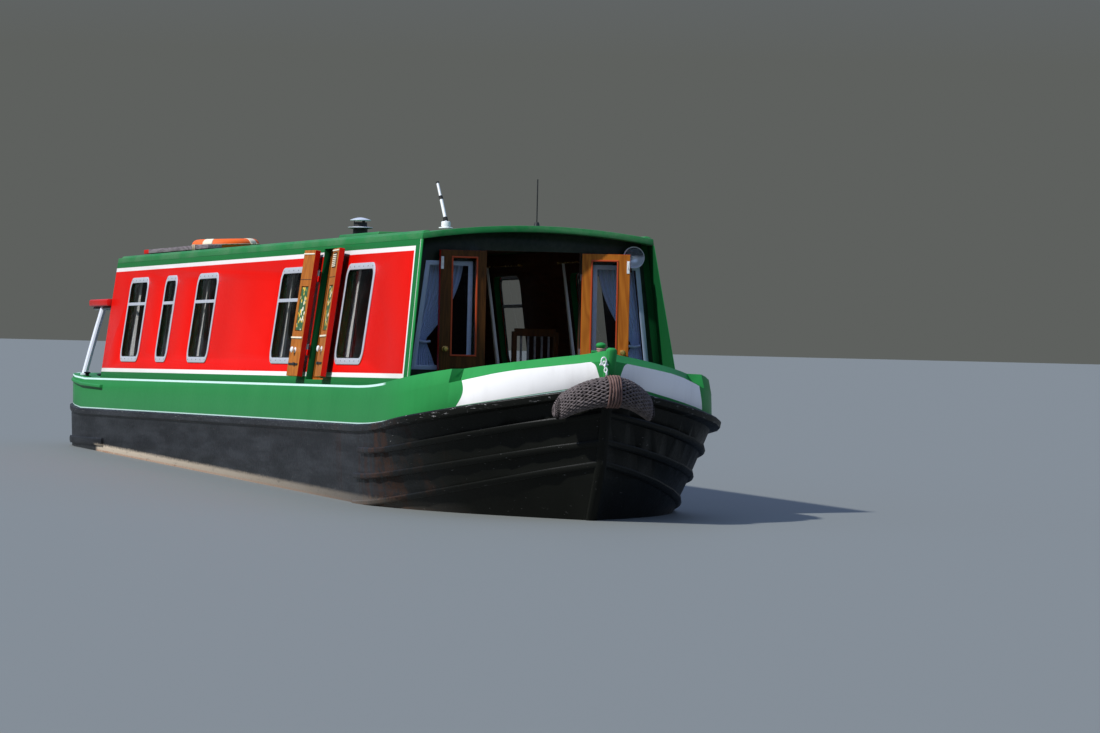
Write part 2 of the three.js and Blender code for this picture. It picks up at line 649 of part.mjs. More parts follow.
function roofBody() {
  const topArc = arc(roofHalf, GUNWALE + SIDE_HEIGHT, ROOF_CAMBER);
  const lowArc = arc(roofFoot, GUNWALE + SIDE_HEIGHT - ROOF_THICK, ROOF_CAMBER).reverse();
  const shell = slabX([...topArc, ...lowArc], CABIN_AFT, FRONT_TOP);
  const opening = box(SLIDE.aft - 10, SLIDE.fore, -SLIDE.half, SLIDE.half, GUNWALE + 850, GUNWALE + 1200);
  const rails = [-1, 1].map((side) => {
    const y = side * (roofHalf - 30);
    const z = roofTop(y);
    return slabX([[y - 22, z - 6], [y + 22, z - 6], [y + 20, z + 26], [y + 8, z + 40], [y - 8, z + 40], [y - 20, z + 26]],
      CABIN_AFT + 120, FRONT_TOP - 30);
  });
  const runners = [-1, 1].map((side) => {
    const y = side * RUNNER.y;
    return box(SLIDE.aft, SLIDE.fore + SLIDE.travel + 20, y - RUNNER.half, y + RUNNER.half, roofTop(y) - 6,
      roofTop(y) + RUNNER.high);
  });
  return join(cut(shell, opening), ...rails, ...runners);
}

const RUNNER = { y: SLIDE.half + 26, half: 12, high: 22 };
function slideBody() {
  const half = RUNNER.y + 30;
  const base = roofTop(RUNNER.y) + RUNNER.high - 0.25;
  const low = arc(half - 12, base, 20, 8).reverse();
  const top = arc(half, base + 10, 24, 8);
  const lip = roofTop(half) + 7;
  const skin = [...top, [half, lip], [half - 12, lip], ...low, [-half + 12, lip], [-half, lip]];
  const handle = box(SLIDE.aft + 40, SLIDE.aft + 60, -60, 60, base + 24, base + 64);
  return join(slabX(skin, SLIDE.aft - 20, SLIDE.fore + 30), handle);
}

// Bulkheads
const under = (y) => GUNWALE + SIDE_HEIGHT - ROOF_THICK + ROOF_CAMBER * (1 - (y / roofFoot) ** 2) - GAP - 0.6;
const inner = (up) => SIDE_FOOT - SIDE_THICK - TUMBLE * up - GAP;

function bulkheadOutline(x, foot) {
  const deckUp = gunwaleZ(x) - GUNWALE;
  const half = inner(SIDE_HEIGHT - ROOF_THICK + 7);
  const crown = arc(half, 0, 1, 10).map(([y]) => [y, under(y)]).reverse();
  const hullHalf = (z) => halfWidthAt(x, z, -WALL - 6);
  const levels = [foot, 350, 590, GUNWALE - 270].filter((z, i) => i === 0 || z > foot + 20);
  const below = levels.map((z) => [hullHalf(z), z]);
  const port = [...below, [hullHalf(870) - 20, GUNWALE - 60], [832, GUNWALE - 60], [832, GUNWALE + deckUp + 3],
    [inner(deckUp + 6), GUNWALE + deckUp + 6]];
  const starboard = port.slice().reverse().map(([y, z]) => [-y, z]);
  return [...port, ...crown, ...starboard];
}

const FRONT_DOOR = { half: 318, low: 650, high: GUNWALE + 884 };
const CORNER_PANE = [[420, GUNWALE + 130], [775, GUNWALE + 130], [690, GUNWALE + 790], [420, GUNWALE + 790]];
const doorLeaf = {
  width: FRONT_DOOR.half - LEAF_GAP - 3,
  height: FRONT_DOOR.high - FRONT_DOOR.low - 12,
  hinges: [180, 700, 1180],
};
const frontFrames = {
  port: hingeFrame([FRONT_BULKHEAD + HINGE_OUT, FRONT_DOOR.half, FRONT_DOOR.low + 6], [0, -1, 0], [0, 0, 1]),
  starboard: hingeFrame([FRONT_BULKHEAD + HINGE_OUT, -FRONT_DOOR.half, FRONT_DOOR.low + 6], [0, 1, 0], [0, 0, 1]),
};
const frontHand = { port: 1, starboard: -1 };

function frontBulkhead() {
  const flip = CORNER_PANE.map(([y, z]) => [-y, z]);
  const g = slabX(bulkheadOutline(FRONT_BULKHEAD, CABIN_FLOOR_Z + 25 + GAP), FRONT_BULKHEAD - BULKHEAD_THICK, FRONT_BULKHEAD,
    [rectangle(-FRONT_DOOR.half, FRONT_DOOR.half, FRONT_DOOR.low, FRONT_DOOR.high), CORNER_PANE, flip]);
  const fixed = ['port', 'starboard'].flatMap((side) => mirrored(jambHinge(doorLeaf.hinges), frontHand[side])
    .map((hinge) => place(hinge, frontFrames[side])));
  return join(g, ...fixed);
}

function shrink(points, by) {
  const cy = points.reduce((s, [y]) => s + y, 0) / points.length;
  const cz = points.reduce((s, [, z]) => s + z, 0) / points.length;
  return points.map(([y, z]) => [y - by * Math.sign(y - cy), z - by * Math.sign(z - cz)]);
}

const STERN_DOOR = { half: 300, low: STERN_DECK_Z + 60, high: GUNWALE + 990 };
const sternLeaf = {
  width: STERN_DOOR.half - LEAF_GAP - 3,
  height: STERN_DOOR.high - STERN_DOOR.low - 12,
  hinges: [160, 620],
};
const sternFrames = {
  port: hingeFrame([CABIN_AFT - HINGE_OUT, STERN_DOOR.half, STERN_DOOR.low + 6], [0, -1, 0], [0, 0, 1]),
  starboard: hingeFrame([CABIN_AFT - HINGE_OUT, -STERN_DOOR.half, STERN_DOOR.low + 6], [0, 1, 0], [0, 0, 1]),
};
const sternHand = { port: -1, starboard: 1 };

function rearBulkhead() {
  const g = cut(slabX(bulkheadOutline(CABIN_AFT, COUNTER_Z + PLATE + GAP), CABIN_AFT, CABIN_AFT + BULKHEAD_THICK),
    box(CABIN_AFT - 1, CABIN_AFT + BULKHEAD_THICK + 1, -STERN_DOOR.half, STERN_DOOR.half, STERN_DOOR.low,
      STERN_DOOR.high + 100));
  const fixed = ['port', 'starboard'].flatMap((side) => mirrored(jambHinge(sternLeaf.hinges), sternHand[side])
    .map((hinge) => place(hinge, sternFrames[side])));
  return join(g, ...fixed);
}

// Steering: stock, blade, swan neck and tiller in one piece
function steeringBody() {
  const blade = slabBlade();
  const stock = post(STOCK_X, 0, 36 + GAP, 1420, 19);
  const neck = bar([[STOCK_X, 0, 1380], [STOCK_X - 20, 0, 1500], [STOCK_X - 70, 0, 1620], [STOCK_X - 60, 0, 1760],
    [STOCK_X + 20, 0, 1850], [STOCK_X + 180, 0, 1880], [STOCK_X + 420, 0, 1895]], 17, 10, 16);
  const grip = bar([[STOCK_X + 400, 0, 1894], [STOCK_X + 520, 0, 1900], [STOCK_X + 720, 0, 1908]], 22, 10, 4);
  return join(blade, stock, neck, grip);
}

function slabBlade() {
  const outline = [[STOCK_X - 340, 60], [STOCK_X + 110, 60], [STOCK_X + 110, 470], [STOCK_X - 340, 470]];
  const g = new THREE.ExtrudeGeometry(shapeOf(outline), { depth: 12, bevelEnabled: false });
  return closed(g.rotateX(Math.PI / 2).translate(0, 6, 0));
}

// Propeller with three broad blades on its shaft
function propellerBody() {
  const alongX = (g) => g.rotateZ(Math.PI / 2);
  const hub = closed(alongX(new THREE.CylinderGeometry(34, 40, 90, 18)).translate(PROPELLER_X, 0, SHAFT_Z));
  const shaft = closed(alongX(new THREE.CylinderGeometry(16, 16, 160, 24)).translate(PROPELLER_X + 110, 0, SHAFT_Z));
  const blades = [0, 1, 2].map((i) => {
    const rings = [0.12, 0.3, 0.5, 0.72, 0.88, 0.98].map((s) => {
      const radius = s * PROPELLER_RADIUS;
      const chord = 75 * Math.sin(Math.PI * (0.22 + 0.72 * s)) + 16;
      const pitch = Math.atan2(250 / (2 * Math.PI), radius);
      return [[-1, 0], [-0.4, 1], [0.4, 1], [1, 0], [0.4, -1], [-0.4, -1]].map(([u, v]) => {
        const c = u * chord;
        const t = v * 4;
        const across = c * Math.cos(pitch) - t * Math.sin(pitch);
        const axial = c * Math.sin(pitch) + t * Math.cos(pitch);
        return [axial, across, radius];
      });
    });
    return closed(loft(rings).rotateX((i * 2 * Math.PI) / 3).translate(PROPELLER_X, 0, SHAFT_Z));
  });
  return join(hub, shaft, ...blades);
}

// Taffrail: white posts that lean in, a mid rail, and the red top rail
const RAIL = { half: 800, shoulder: -11450, end: -12000, z: GUNWALE + 610, thick: 58 };
function railPath(inset, z, forward) {
  const points = [[forward, RAIL.half - inset, z], [(forward + RAIL.shoulder) / 2, RAIL.half - inset, z]];
  for (const degrees of [0, 22.5, 45, 67.5, 90]) {
    const angle = THREE.MathUtils.degToRad(degrees);
    points.push([RAIL.shoulder - (RAIL.shoulder - RAIL.end - inset) * Math.sin(angle),
      (RAIL.half - inset) * Math.cos(angle), z]);
  }
  return [...points, ...points.slice(0, -1).reverse().map(([x, y, zz]) => [x, -y, zz])];
}

const POSTS = [
  { footX: -11060, footY: 946, topX: -11050, topY: 800 },
  { footX: -11925, footY: 470, topX: -11862, topY: 520 },
];

function taffrailFrame() {
  const legs = POSTS.flatMap(({ footX, footY, topX, topY }) => [-1, 1].map((side) => bar(
    [[footX, side * footY, gunwaleZ(footX) + 12], [(footX + topX) / 2, side * (footY + topY) / 2, GUNWALE + 320],
      [topX, side * topY, RAIL.z - 26]], 25, 10, 3)));
  const feet = POSTS.flatMap(({ footX, footY }) => [-1, 1].map((side) => post(footX, side * footY,
    gunwaleZ(footX - 50) + GAP, gunwaleZ(footX) + 14, 36, 14)));
  const tube = bar(railPath(0, RAIL.z - 18 - 13.4, CABIN_AFT - GAP), 13, 8, 30);
  return join(tube, ...legs, ...feet);
}

function taffrailTop() {
  const path = railPath(0, 0, CABIN_AFT - 14);
  const rings = path.map(([x, y], i) => {
    const before = path[Math.max(i - 1, 0)];
    const after = path[Math.min(i + 1, path.length - 1)];
    const along = new THREE.Vector2(after[0] - before[0], after[1] - before[1]).normalize();
    const side = [-along.y, along.x];
    const at = (w, z) => [x + w * side[0], y + w * side[1], z];
    const z = RAIL.z - 18;
    const top = z + RAIL.thick;
    return [at(-42, z), at(42, z), at(48, z + 10), at(48, top - 10), at(38, top), at(-38, top), at(-48, top - 10),
      at(-48, z + 10)];
  });
  return loft(rings);
}

// Roof fittings
function chimney() {
  const y = 120;
  const g = turned([[0, -3], [92, -3], [92, 14], [58, 22], [54, 96], [92, 104], [92, 112], [50, 118], [50, 150], [78, 158],
    [78, 168], [30, 182], [0, 184]], 24);
  return g.translate(-5700, y, roofTop(y - 92) + 3.4);
}

function roofBox() {
  const y = -250;
  const z = roofTop(y + 210) + 2;
  const low = roofTop(y - 210);
  return slabX([[y - 210, low + GAP], [y - 105, roofTop(y - 105) + GAP], [y, roofTop(y) + GAP],
    [y + 105, roofTop(y + 105) + GAP], [y + 210, roofTop(y + 210) + GAP],
    [y + 200, z + 46], [y - 200, low + 60]], -3900, -2700);
}

function mast() {
  const x = -750;
  const y = -470;
  const z = roofTop(Math.abs(y) - 50) - 2.7 + GAP;
  const foot = turned([[0, 0], [46, 0], [40, 18], [18, 30], [14, 60], [0, 62]], 16).translate(x, y, z + 2);
  const pole = bar([[x, y, z + 50], [x - 70, y - 12, z + 190], [x - 150, y - 26, z + 350]], 11, 8, 4);
  return join(foot, pole);
}

function whip() {
  const x = -230;
  const z = roofTop(0) + GAP;
  return join(post(x, 0, z, z + 24, 20, 12, 14), post(x, 0, z + 20, z + 300, 4, 8));
}

function lifeRing() {
  const x = -9030;
  const y = -200;
  const g = new THREE.LatheGeometry(Array.from({ length: 11 }, (_, i) => {
    const angle = (i / 10) * 2 * Math.PI;
    return new THREE.Vector2(212 + 56 * Math.cos(angle), 44 * Math.sin(angle));
  }), 28).rotateX(Math.PI / 2);
  const lean = Math.atan2(roofTop(y + 200) - roofTop(y - 200), 400);
  return closed(g.rotateX(lean).translate(x, y, roofTop(y) + 41.9));
}

function plank() {
  const y = -560;
  const z = roofTop(y + 55) + 2;
  return slabX([[y - 55, z], [y + 55, z], [y + 55, z + 32], [y - 55, z + 32]], -10300, -7700);
}

function plankChocks() {
  const y = -560;
  const pair = [-9900, -8100];
  return pair.map((x) => slabX([[y - 45, roofTop(y - 45) + GAP], [y, roofTop(y) + GAP], [y + 45, roofTop(y + 45) + GAP],
    [y + 45, roofTop(y + 55) + 2 - GAP], [y - 45, roofTop(y + 55) + 2 - GAP]], x, x + 60));
}

function tunnelLamp() {
  const bowl = new THREE.LatheGeometry([[0, 0], [24, 2], [56, 26], [68, 52], [70, 66], [62, 70], [56, 62], [0, 58]]
    .map(([r, z]) => new THREE.Vector2(r, z)), 28).rotateZ(-Math.PI / 2);
  return join(closed(bowl.translate(FRONT_BULKHEAD + 8, 652, GUNWALE + 862)),
    box(FRONT_BULKHEAD + GAP, FRONT_BULKHEAD + 26, 638, 666, GUNWALE + 848, GUNWALE + 876));
}

// Rope fender over the stem: a thick crescent with drooping, rounded ends
const FENDER = { x: 1637.5, z: GUNWALE - 1, half: 320, radius: 94, endRadius: 80, back: 205, droop: 130, cap: 0.8 };
function bowFender() {
  const rings = [];
  const steps = 28;
  for (let i = 0; i <= steps; i += 1) {
    const s = -Math.cos((i / steps) * Math.PI);
    const y = FENDER.half * s;
    const back = FENDER.back * Math.abs(s) ** 1.4;
    const past = Math.max(Math.abs(s) - FENDER.cap, 0) / (1 - FENDER.cap);
    const full = FENDER.radius + (FENDER.endRadius - FENDER.radius) * s * s;
    const size = full * Math.max(Math.sqrt(1 - past * past), 0.16);
    const x = FENDER.x - back;
    const z = FENDER.z - FENDER.droop * s * s;
    rings.push(Array.from({ length: 12 }, (_, k) => {
      const angle = (k / 12) * 2 * Math.PI;
      return [x + size * 0.85 * Math.cos(angle), y, z + size * Math.sin(angle)];
    }));
  }
  return loft(rings);
}

const cornerCurtain = (side) => {
  const outline = [[440, GUNWALE + 100], [770, GUNWALE + 100], [688, GUNWALE + 830], [440, GUNWALE + 830]];
  return slabX(outline.map(([y, z]) => [side * y, z]), FRONT_BULKHEAD - BULKHEAD_THICK - 34,
    FRONT_BULKHEAD - BULKHEAD_THICK - GAP);
};

// Colours, from the boat's paint and timber
const PAINTS = {
  hullBlack: { color: 0x17171a, roughness: 0.7, metalness: 0 },
  bandGreen: { color: 0x1f8f4a, roughness: 0.35, metalness: 0 },
  sideRed: { color: 0xd9261c, roughness: 0.3, metalness: 0 },
  roofGreen: { color: 0x1c7d42, roughness: 0.45, metalness: 0 },
  frontGreen: { color: 0x12472b, roughness: 0.4, metalness: 0 },
  deckGrey: { color: 0x55585a, roughness: 0.8, metalness: 0 },
  timber: { color: 0xa5602a, roughness: 0.5, metalness: 0 },
  leafWood: { color: 0xb8722f, roughness: 0.35, metalness: 0 },
  silver: { color: 0xc9ccd0, roughness: 0.35, metalness: 0.8 },
  glass: { color: 0x26302f, roughness: 0.05, metalness: 0 },
  steel: { color: 0x777a7d, roughness: 0.5, metalness: 0.7 },
  bronze: { color: 0xa8793a, roughness: 0.35, metalness: 0.9 },
  white: { color: 0xe8e8e4, roughness: 0.4, metalness: 0 },
  railRed: { color: 0xb81f1a, roughness: 0.4, metalness: 0 },
  castBlack: { color: 0x1b1b1c, roughness: 0.5, metalness: 0.3 },
  orange: { color: 0xe85f16, roughness: 0.6, metalness: 0 },
  greyWood: { color: 0x8c8d8c, roughness: 0.8, metalness: 0 },
  chrome: { color: 0xdfe3e6, roughness: 0.08, metalness: 1 },
  rope: { color: 0x4a4138, roughness: 0.95, metalness: 0 },
  curtain: { color: 0x5d6f88, roughness: 0.9, metalness: 0 },
};

function named(name, geometry, paint) {
  const material = new THREE.MeshStandardMaterial(PAINTS[paint]);
  const mesh = new THREE.Mesh(geometry, material);
  mesh.name = name;
  return mesh;
}

const boat = new THREE.Group();
// How far each leaf stands open
const OPEN = { port: 165, starboard: 177, hatch: 176 };
const parts = [
  ['base_plate', basePlate, 'hullBlack'],
  ['lower_hull', lowerHull, 'hullBlack'],
  ['swim', swim, 'hullBlack'],
  ['counter_plate', counterPlate, 'hullBlack'],
  ['topsides', topsides, 'bandGreen'],
  ['stern_deck', sternDeck, 'deckGrey'],
  ['engine_block', engine, 'steel'],
  ['ballast', ballast, 'steel'],
  ['cabin_floor', cabinFloor, 'timber'],
  ['well_floor', wellFloor, 'deckGrey'],
  ['fore_deck', foreDeck, 'bandGreen'],
  ['cabin_side_starboard', cabinSide(-1), 'sideRed'],
  ['cabin_side_port', cabinSide(1), 'sideRed'],
  ...WINDOWS.map((row) => [`window_starboard_${row.name}`, windowUnit(-1, row), 'silver']),
  ...WINDOWS.map((row) => [`window_port_${row.name}`, windowUnit(1, row), 'silver']),
  ['roof', roofBody(), 'roofGreen'],
  ['front_bulkhead', frontBulkhead(), 'frontGreen'],
  ['rear_bulkhead', rearBulkhead(), 'frontGreen'],
  ['corner_pane_port', slabX(shrink(CORNER_PANE, GAP), FRONT_BULKHEAD - 24, FRONT_BULKHEAD - 18), 'glass'],
  ['corner_pane_starboard', slabX(shrink(CORNER_PANE, GAP).map(([y, z]) => [-y, z]), FRONT_BULKHEAD - 24,
    FRONT_BULKHEAD - 18), 'glass'],
  ['steering', steeringBody(), 'steel'],
  ['propeller', propellerBody(), 'bronze'],
  ['taffrail_frame', taffrailFrame(), 'white'],
  ['taffrail_top', taffrailTop(), 'railRed'],
  ['sliding_hatch', slideBody(), 'railRed'],
  ['chimney', chimney(), 'castBlack'],
  ['roof_box', roofBox(), 'roofGreen'],
  ['leaning_mast', mast(), 'white'],
  ['whip_aerial', whip(), 'castBlack'],
  ['life_ring', lifeRing(), 'orange'],
  ['plank', plank(), 'greyWood'],
  ...plankChocks().map((g, i) => [`plank_chock_${i + 1}`, g, 'roofGreen']),
  ['tunnel_lamp', tunnelLamp(), 'chrome'],
  ['bow_fender', bowFender(), 'rope'],
  ['curtain_port', cornerCurtain(1), 'curtain'],
  ['curtain_starboard', cornerCurtain(-1), 'curtain'],
];

const frontPane = [74, 231, 684, 1304];
for (const side of ['port', 'starboard']) {
  const front = leafBody({ ...doorLeaf, pane: frontPane, hand: frontHand[side] });
  parts.push([`front_door_${side}`, place(front, frontFrames[side], frontHand[side] * OPEN[side]), 'leafWood']);
  const stern = leafBody({ ...sternLeaf, pane: null, hand: sternHand[side] });
  parts.push([`stern_door_${side}`, place(stern, sternFrames[side]), 'sideRed']);
}
for (const end of ['aft', 'fore']) {
  const leaf = leafBody({ ...HATCH_LEAF, pane: null, hand: hatchHand[end] });
  parts.push([`side_hatch_${end}`, place(leaf, hatchFrames[end], hatchHand[end] * OPEN.hatch), 'leafWood']);
}

for (const [name, geometry, paint] of parts) boat.add(named(name, geometry, paint));

// The origin stands under the middle of the whole boat
const BOW_TIP = FENDER.x + FENDER.radius * 0.85;
boat.position.x = -(BOW_TIP + STERN_END - GUARD_OUT.stern) / 2;
export default boat;
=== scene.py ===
# A red and green steel narrowboat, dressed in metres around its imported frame.
# +X is the bow, +Y port, +Z up. Lengths called x in the dictionaries count from the foot of the cabin side's
# front edge, and heights called up count from the side deck, as on a drawing of the boat.
import contextlib
import json
import math
import random

import bpy
from mathutils import Matrix, Quaternion, Vector

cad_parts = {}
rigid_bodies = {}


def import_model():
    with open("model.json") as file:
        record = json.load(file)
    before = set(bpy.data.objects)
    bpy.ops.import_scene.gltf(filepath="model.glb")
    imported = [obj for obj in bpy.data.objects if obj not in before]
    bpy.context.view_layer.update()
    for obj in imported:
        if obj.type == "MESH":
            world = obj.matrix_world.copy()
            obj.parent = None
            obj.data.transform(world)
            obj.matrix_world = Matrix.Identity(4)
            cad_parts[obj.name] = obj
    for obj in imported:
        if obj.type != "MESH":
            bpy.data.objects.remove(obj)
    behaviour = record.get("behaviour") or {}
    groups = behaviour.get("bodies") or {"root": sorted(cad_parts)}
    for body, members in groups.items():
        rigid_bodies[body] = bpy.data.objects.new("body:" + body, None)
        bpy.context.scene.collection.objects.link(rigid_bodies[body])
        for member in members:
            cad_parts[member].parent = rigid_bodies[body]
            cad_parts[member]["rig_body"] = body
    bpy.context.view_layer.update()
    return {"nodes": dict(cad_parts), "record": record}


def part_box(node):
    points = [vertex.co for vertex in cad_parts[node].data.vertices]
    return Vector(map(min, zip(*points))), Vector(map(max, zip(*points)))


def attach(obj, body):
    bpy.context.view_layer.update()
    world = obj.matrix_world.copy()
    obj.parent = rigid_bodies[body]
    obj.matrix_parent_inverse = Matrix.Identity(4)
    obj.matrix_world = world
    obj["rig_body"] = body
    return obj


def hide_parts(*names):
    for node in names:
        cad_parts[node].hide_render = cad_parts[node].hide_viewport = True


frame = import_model()
nodeSlot = {row["node"]: row["material_slot"] for row in frame["record"]["subparts"]}
print("frame loaded:", len(frame["nodes"]), "nodes")

boat = {
    "deckUp": 1.130,
    "sideFoot": 0.893,
    "tumble": 0.132,
    "sideHeight": 0.983,
    "roofThick": 0.040,
    "roofCamber": 0.063,
    "sideThick": 0.050,
    "cabinAft": -10.630,
    "frontFootX": 0.045,
    "frontTopX": -0.170,
    "bulkheadX": -0.300,
    "bulkheadThick": 0.040,
    "bowRiseStart": -1.0,
    "bowRiseLength": 2.5,
    "deckRise": 0.241,
    "deckCurve": 2.29,
    "strakeRise": 0.280,
    "strakeCurve": 2.75,
    "strakeDrop": 0.251,
    "sternRiseStart": -10.7,
    "sternRiseLength": 0.8,
    "sternRise": 0.040,
}
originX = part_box("cabin_side_port")[1].x - boat["frontFootX"]
deckUp = boat["deckUp"]
roofHalf = boat["sideFoot"] - boat["tumble"] * boat["sideHeight"]
sides = {"starboard": -1, "port": 1}
weldGap = 0.00005
easeDegrees = 30
flatDegrees = 0.3


def place(x, y, up):
    return Vector((originX + x, y, deckUp + up))


def roofUp(y):
    return boat["sideHeight"] + boat["roofCamber"] * (1 - (y / roofHalf) ** 2)


def deckUpAt(x):
    run = min(max((x - boat["bowRiseStart"]) / boat["bowRiseLength"], 0), 1)
    return boat["deckRise"] * run ** boat["deckCurve"]


# From a drawing on the cabin side (along, up, out) to the frame
def sideMatrix(side, x=0.0, up=0.0, out=0.0):
    foot = place(x, side * (boat["sideFoot"] - boat["tumble"] * up + out), up)
    lean = -side * boat["tumble"]
    return Matrix(((1, 0, 0, foot.x), (0, lean, side, foot.y), (0, 1, 0, foot.z), (0, 0, 0, 1)))


# From a drawing on the front bulkhead (to port, up, forward) to the frame
def bulkheadMatrix(x):
    foot = place(x, 0, 0)
    return Matrix(((0, 0, 1, foot.x), (1, 0, 0, foot.y), (0, 1, 0, foot.z), (0, 0, 0, 1)))


# Camera: fitted to the photograph's edges of hull, cabin and windows
camera = {"x": 33.2091, "y": -8.9877, "up": 0.058, "yaw": 15.218, "pitch": 0.149, "roll": 1.272,
          "lens": 176.73,
          "sensor": 36, "far": 400}


def addCamera():
    bpy.ops.object.camera_add()
    eye = bpy.context.object
    eye.name = "photoCamera"
    eye.location = place(camera["x"], camera["y"], camera["up"])
    eye.rotation_mode = "QUATERNION"
    heading = Quaternion((0, 0, 1), math.radians(90 - camera["yaw"]))
    tilt = Quaternion((1, 0, 0), math.radians(90 + camera["pitch"]))
    roll = Quaternion((0, 0, 1), math.radians(camera["roll"]))
    eye.rotation_quaternion = heading @ tilt @ roll
    eye.data.sensor_width = camera["sensor"]
    eye.data.lens = camera["lens"]
    eye.data.clip_end = camera["far"]
    bpy.context.scene.camera = eye


# Selecting, editing and finishing
def deselectAll():
    if bpy.context.object and bpy.context.object.mode != "OBJECT":
        bpy.ops.object.mode_set(mode="OBJECT")
    bpy.ops.object.select_all(action="DESELECT")


def pick(thing, *others):
    deselectAll()
    for each in (thing, *others):
        each.select_set(True)
    bpy.context.view_layer.objects.active = thing


@contextlib.contextmanager
def editing(thing):
    pick(thing)
    bpy.ops.object.mode_set(mode="EDIT")
    bpy.ops.mesh.select_all(action="SELECT")
    yield
    bpy.ops.object.mode_set(mode="OBJECT")


def weldAll():
    bpy.ops.mesh.select_all(action="SELECT")
    bpy.ops.mesh.remove_doubles(threshold=weldGap)
    bpy.ops.mesh.normals_make_consistent(inside=False)


def modify(thing, kind, **settings):
    modifier = thing.modifiers.new("shape", kind)
    for key, value in settings.items():
        setattr(modifier, key, value)
    pick(thing)
    bpy.ops.object.modifier_apply(modifier=modifier.name)
    return thing


def bevelEdges(thing, width, segments=2, degrees=35):
    return modify(thing, "BEVEL", width=width, segments=segments, limit_method="ANGLE",
                  angle_limit=math.radians(degrees))


def smooth(thing, degrees=32):
    pick(thing)
    bpy.ops.object.shade_smooth_by_angle(angle=math.radians(degrees))
    return thing


def linked(name, data):
    thing = bpy.data.objects.new(name, data)
    bpy.context.collection.objects.link(thing)
    return thing


def joinPieces(things, name):
    pick(*things)
    if len(things) > 1:
        bpy.ops.object.join()
    bpy.context.object.name = name
    return bpy.context.object


# Moves a mesh from its drawing to its place, and keeps its faces pointing out
def moveTo(thing, matrix):
    thing.data.transform(matrix)
    if matrix.to_3x3().determinant() < 0:
        thing.data.flip_normals()
    return thing


def shifted(thing, offset):
    return moveTo(thing, Matrix.Translation(offset))


# One named piece from its parts: paints is one or more names of finishes, nodes the CAD nodes it replaces
def addPiece(name, things, slot, paints, *nodes, at=None, body="boat"):
    thing = joinPieces(things if isinstance(things, list) else [things], name)
    if at:
        moveTo(thing, at)
    thing.data.materials.clear()
    for paint in paints.split():
        thing.data.materials.append(finish[paint])
    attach(thing, body)
    if nodes:
        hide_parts(*nodes)
    return thing


# Gives the faces that pass a test another of the piece's finishes
def paintFaces(thing, index, test):
    for face in thing.data.polygons:
        if test(face.center, face.normal):
            face.material_index = index


# Basic shapes, each a start that is then bevelled, bored or bent
def block(x0, x1, y0, y1, z0, z1, bevel=0.002, segments=2):
    deselectAll()
    bpy.ops.mesh.primitive_cube_add(size=1, location=((x0 + x1) / 2, (y0 + y1) / 2, (z0 + z1) / 2))
    thing = bpy.context.object
    thing.scale = (abs(x1 - x0), abs(y1 - y0), abs(z1 - z0))
    bpy.ops.object.transform_apply(location=True, rotation=True, scale=True)
    return bevelEdges(thing, bevel, segments) if bevel else thing


def tube(points, radius, cyclic=False, sides=3, curved=True):
    curve = bpy.data.curves.new("run", "CURVE")
    curve.dimensions = "3D"
    spline = curve.splines.new("NURBS" if curved and len(points) > 3 else "POLY")
    spline.points.add(len(points) - 1)
    for point, at in zip(spline.points, points):
        point.co = (*at, 1)
    if spline.type == "NURBS":
        spline.order_u = 3
        spline.use_endpoint_u = not cyclic
        spline.resolution_u = 3
    spline.use_cyclic_u = cyclic
    curve.bevel_depth = radius
    curve.bevel_resolution = sides - 1
    curve.use_fill_caps = not cyclic
    pick(linked("run", curve))
    bpy.ops.object.convert(target="MESH")
    bpy.ops.object.shade_smooth()
    return bpy.context.object


def hoop(points, radius, curved=True):
    return tube(points, radius, True, 2, curved)


def angles(count):
    return [math.tau * k / count for k in range(count)]


# A turned piece: a profile of radius and height, spun about its upright axis
def turned(profile, steps=32):
    deselectAll()
    bpy.ops.mesh.primitive_plane_add(size=0.002)
    thing = bpy.context.object
    with editing(thing):
        bpy.ops.mesh.merge(type="CENTER")
        bpy.ops.transform.translate(value=(profile[0][0], 0, profile[0][1]))
        for (r0, z0), (r1, z1) in zip(profile, profile[1:]):
            bpy.ops.mesh.extrude_region_move(TRANSFORM_OT_translate={"value": (r1 - r0, 0, z1 - z0)})
        bpy.ops.mesh.select_all(action="SELECT")
        bpy.ops.mesh.spin(steps=steps, angle=math.tau, center=(0, 0, 0), axis=(0, 0, 1))
        weldAll()
    return smooth(thing)


# Thickens a flat face into a plate; a rim leaves only its border
def plateFrom(thing, thick, rim, bevel):
    if rim:
        with editing(thing):
            bpy.ops.mesh.inset(thickness=rim, depth=0)
            bpy.ops.mesh.delete(type="FACE")
    modify(thing, "SOLIDIFY", thickness=thick, offset=1.0)
    return smooth(bevelEdges(thing, bevel))


# A plate with rounded corners, drawn in X and Y from its middle
def roundedPlate(width, height, radius, thick, rim, bevel):
    deselectAll()
    bpy.ops.mesh.primitive_plane_add(size=1)
    thing = bpy.context.object
    thing.scale = (width, height, 1)
    bpy.ops.object.transform_apply(location=True, rotation=True, scale=True)
    with editing(thing):
        bpy.ops.mesh.bevel(offset=radius, segments=6, affect="VERTICES")
    return plateFrom(thing, thick, rim, bevel)


# A plate from an outline in X and Y
def outlinePlate(points, thick, rim, bevel):
    mesh = bpy.data.meshes.new("outline")
    mesh.from_pydata([(x, y, 0) for x, y in points], [], [list(range(len(points)))])
    thing = linked("outline", mesh)
    with editing(thing):
        bpy.ops.mesh.normals_make_consistent(inside=False)
    return plateFrom(thing, thick, rim, bevel)


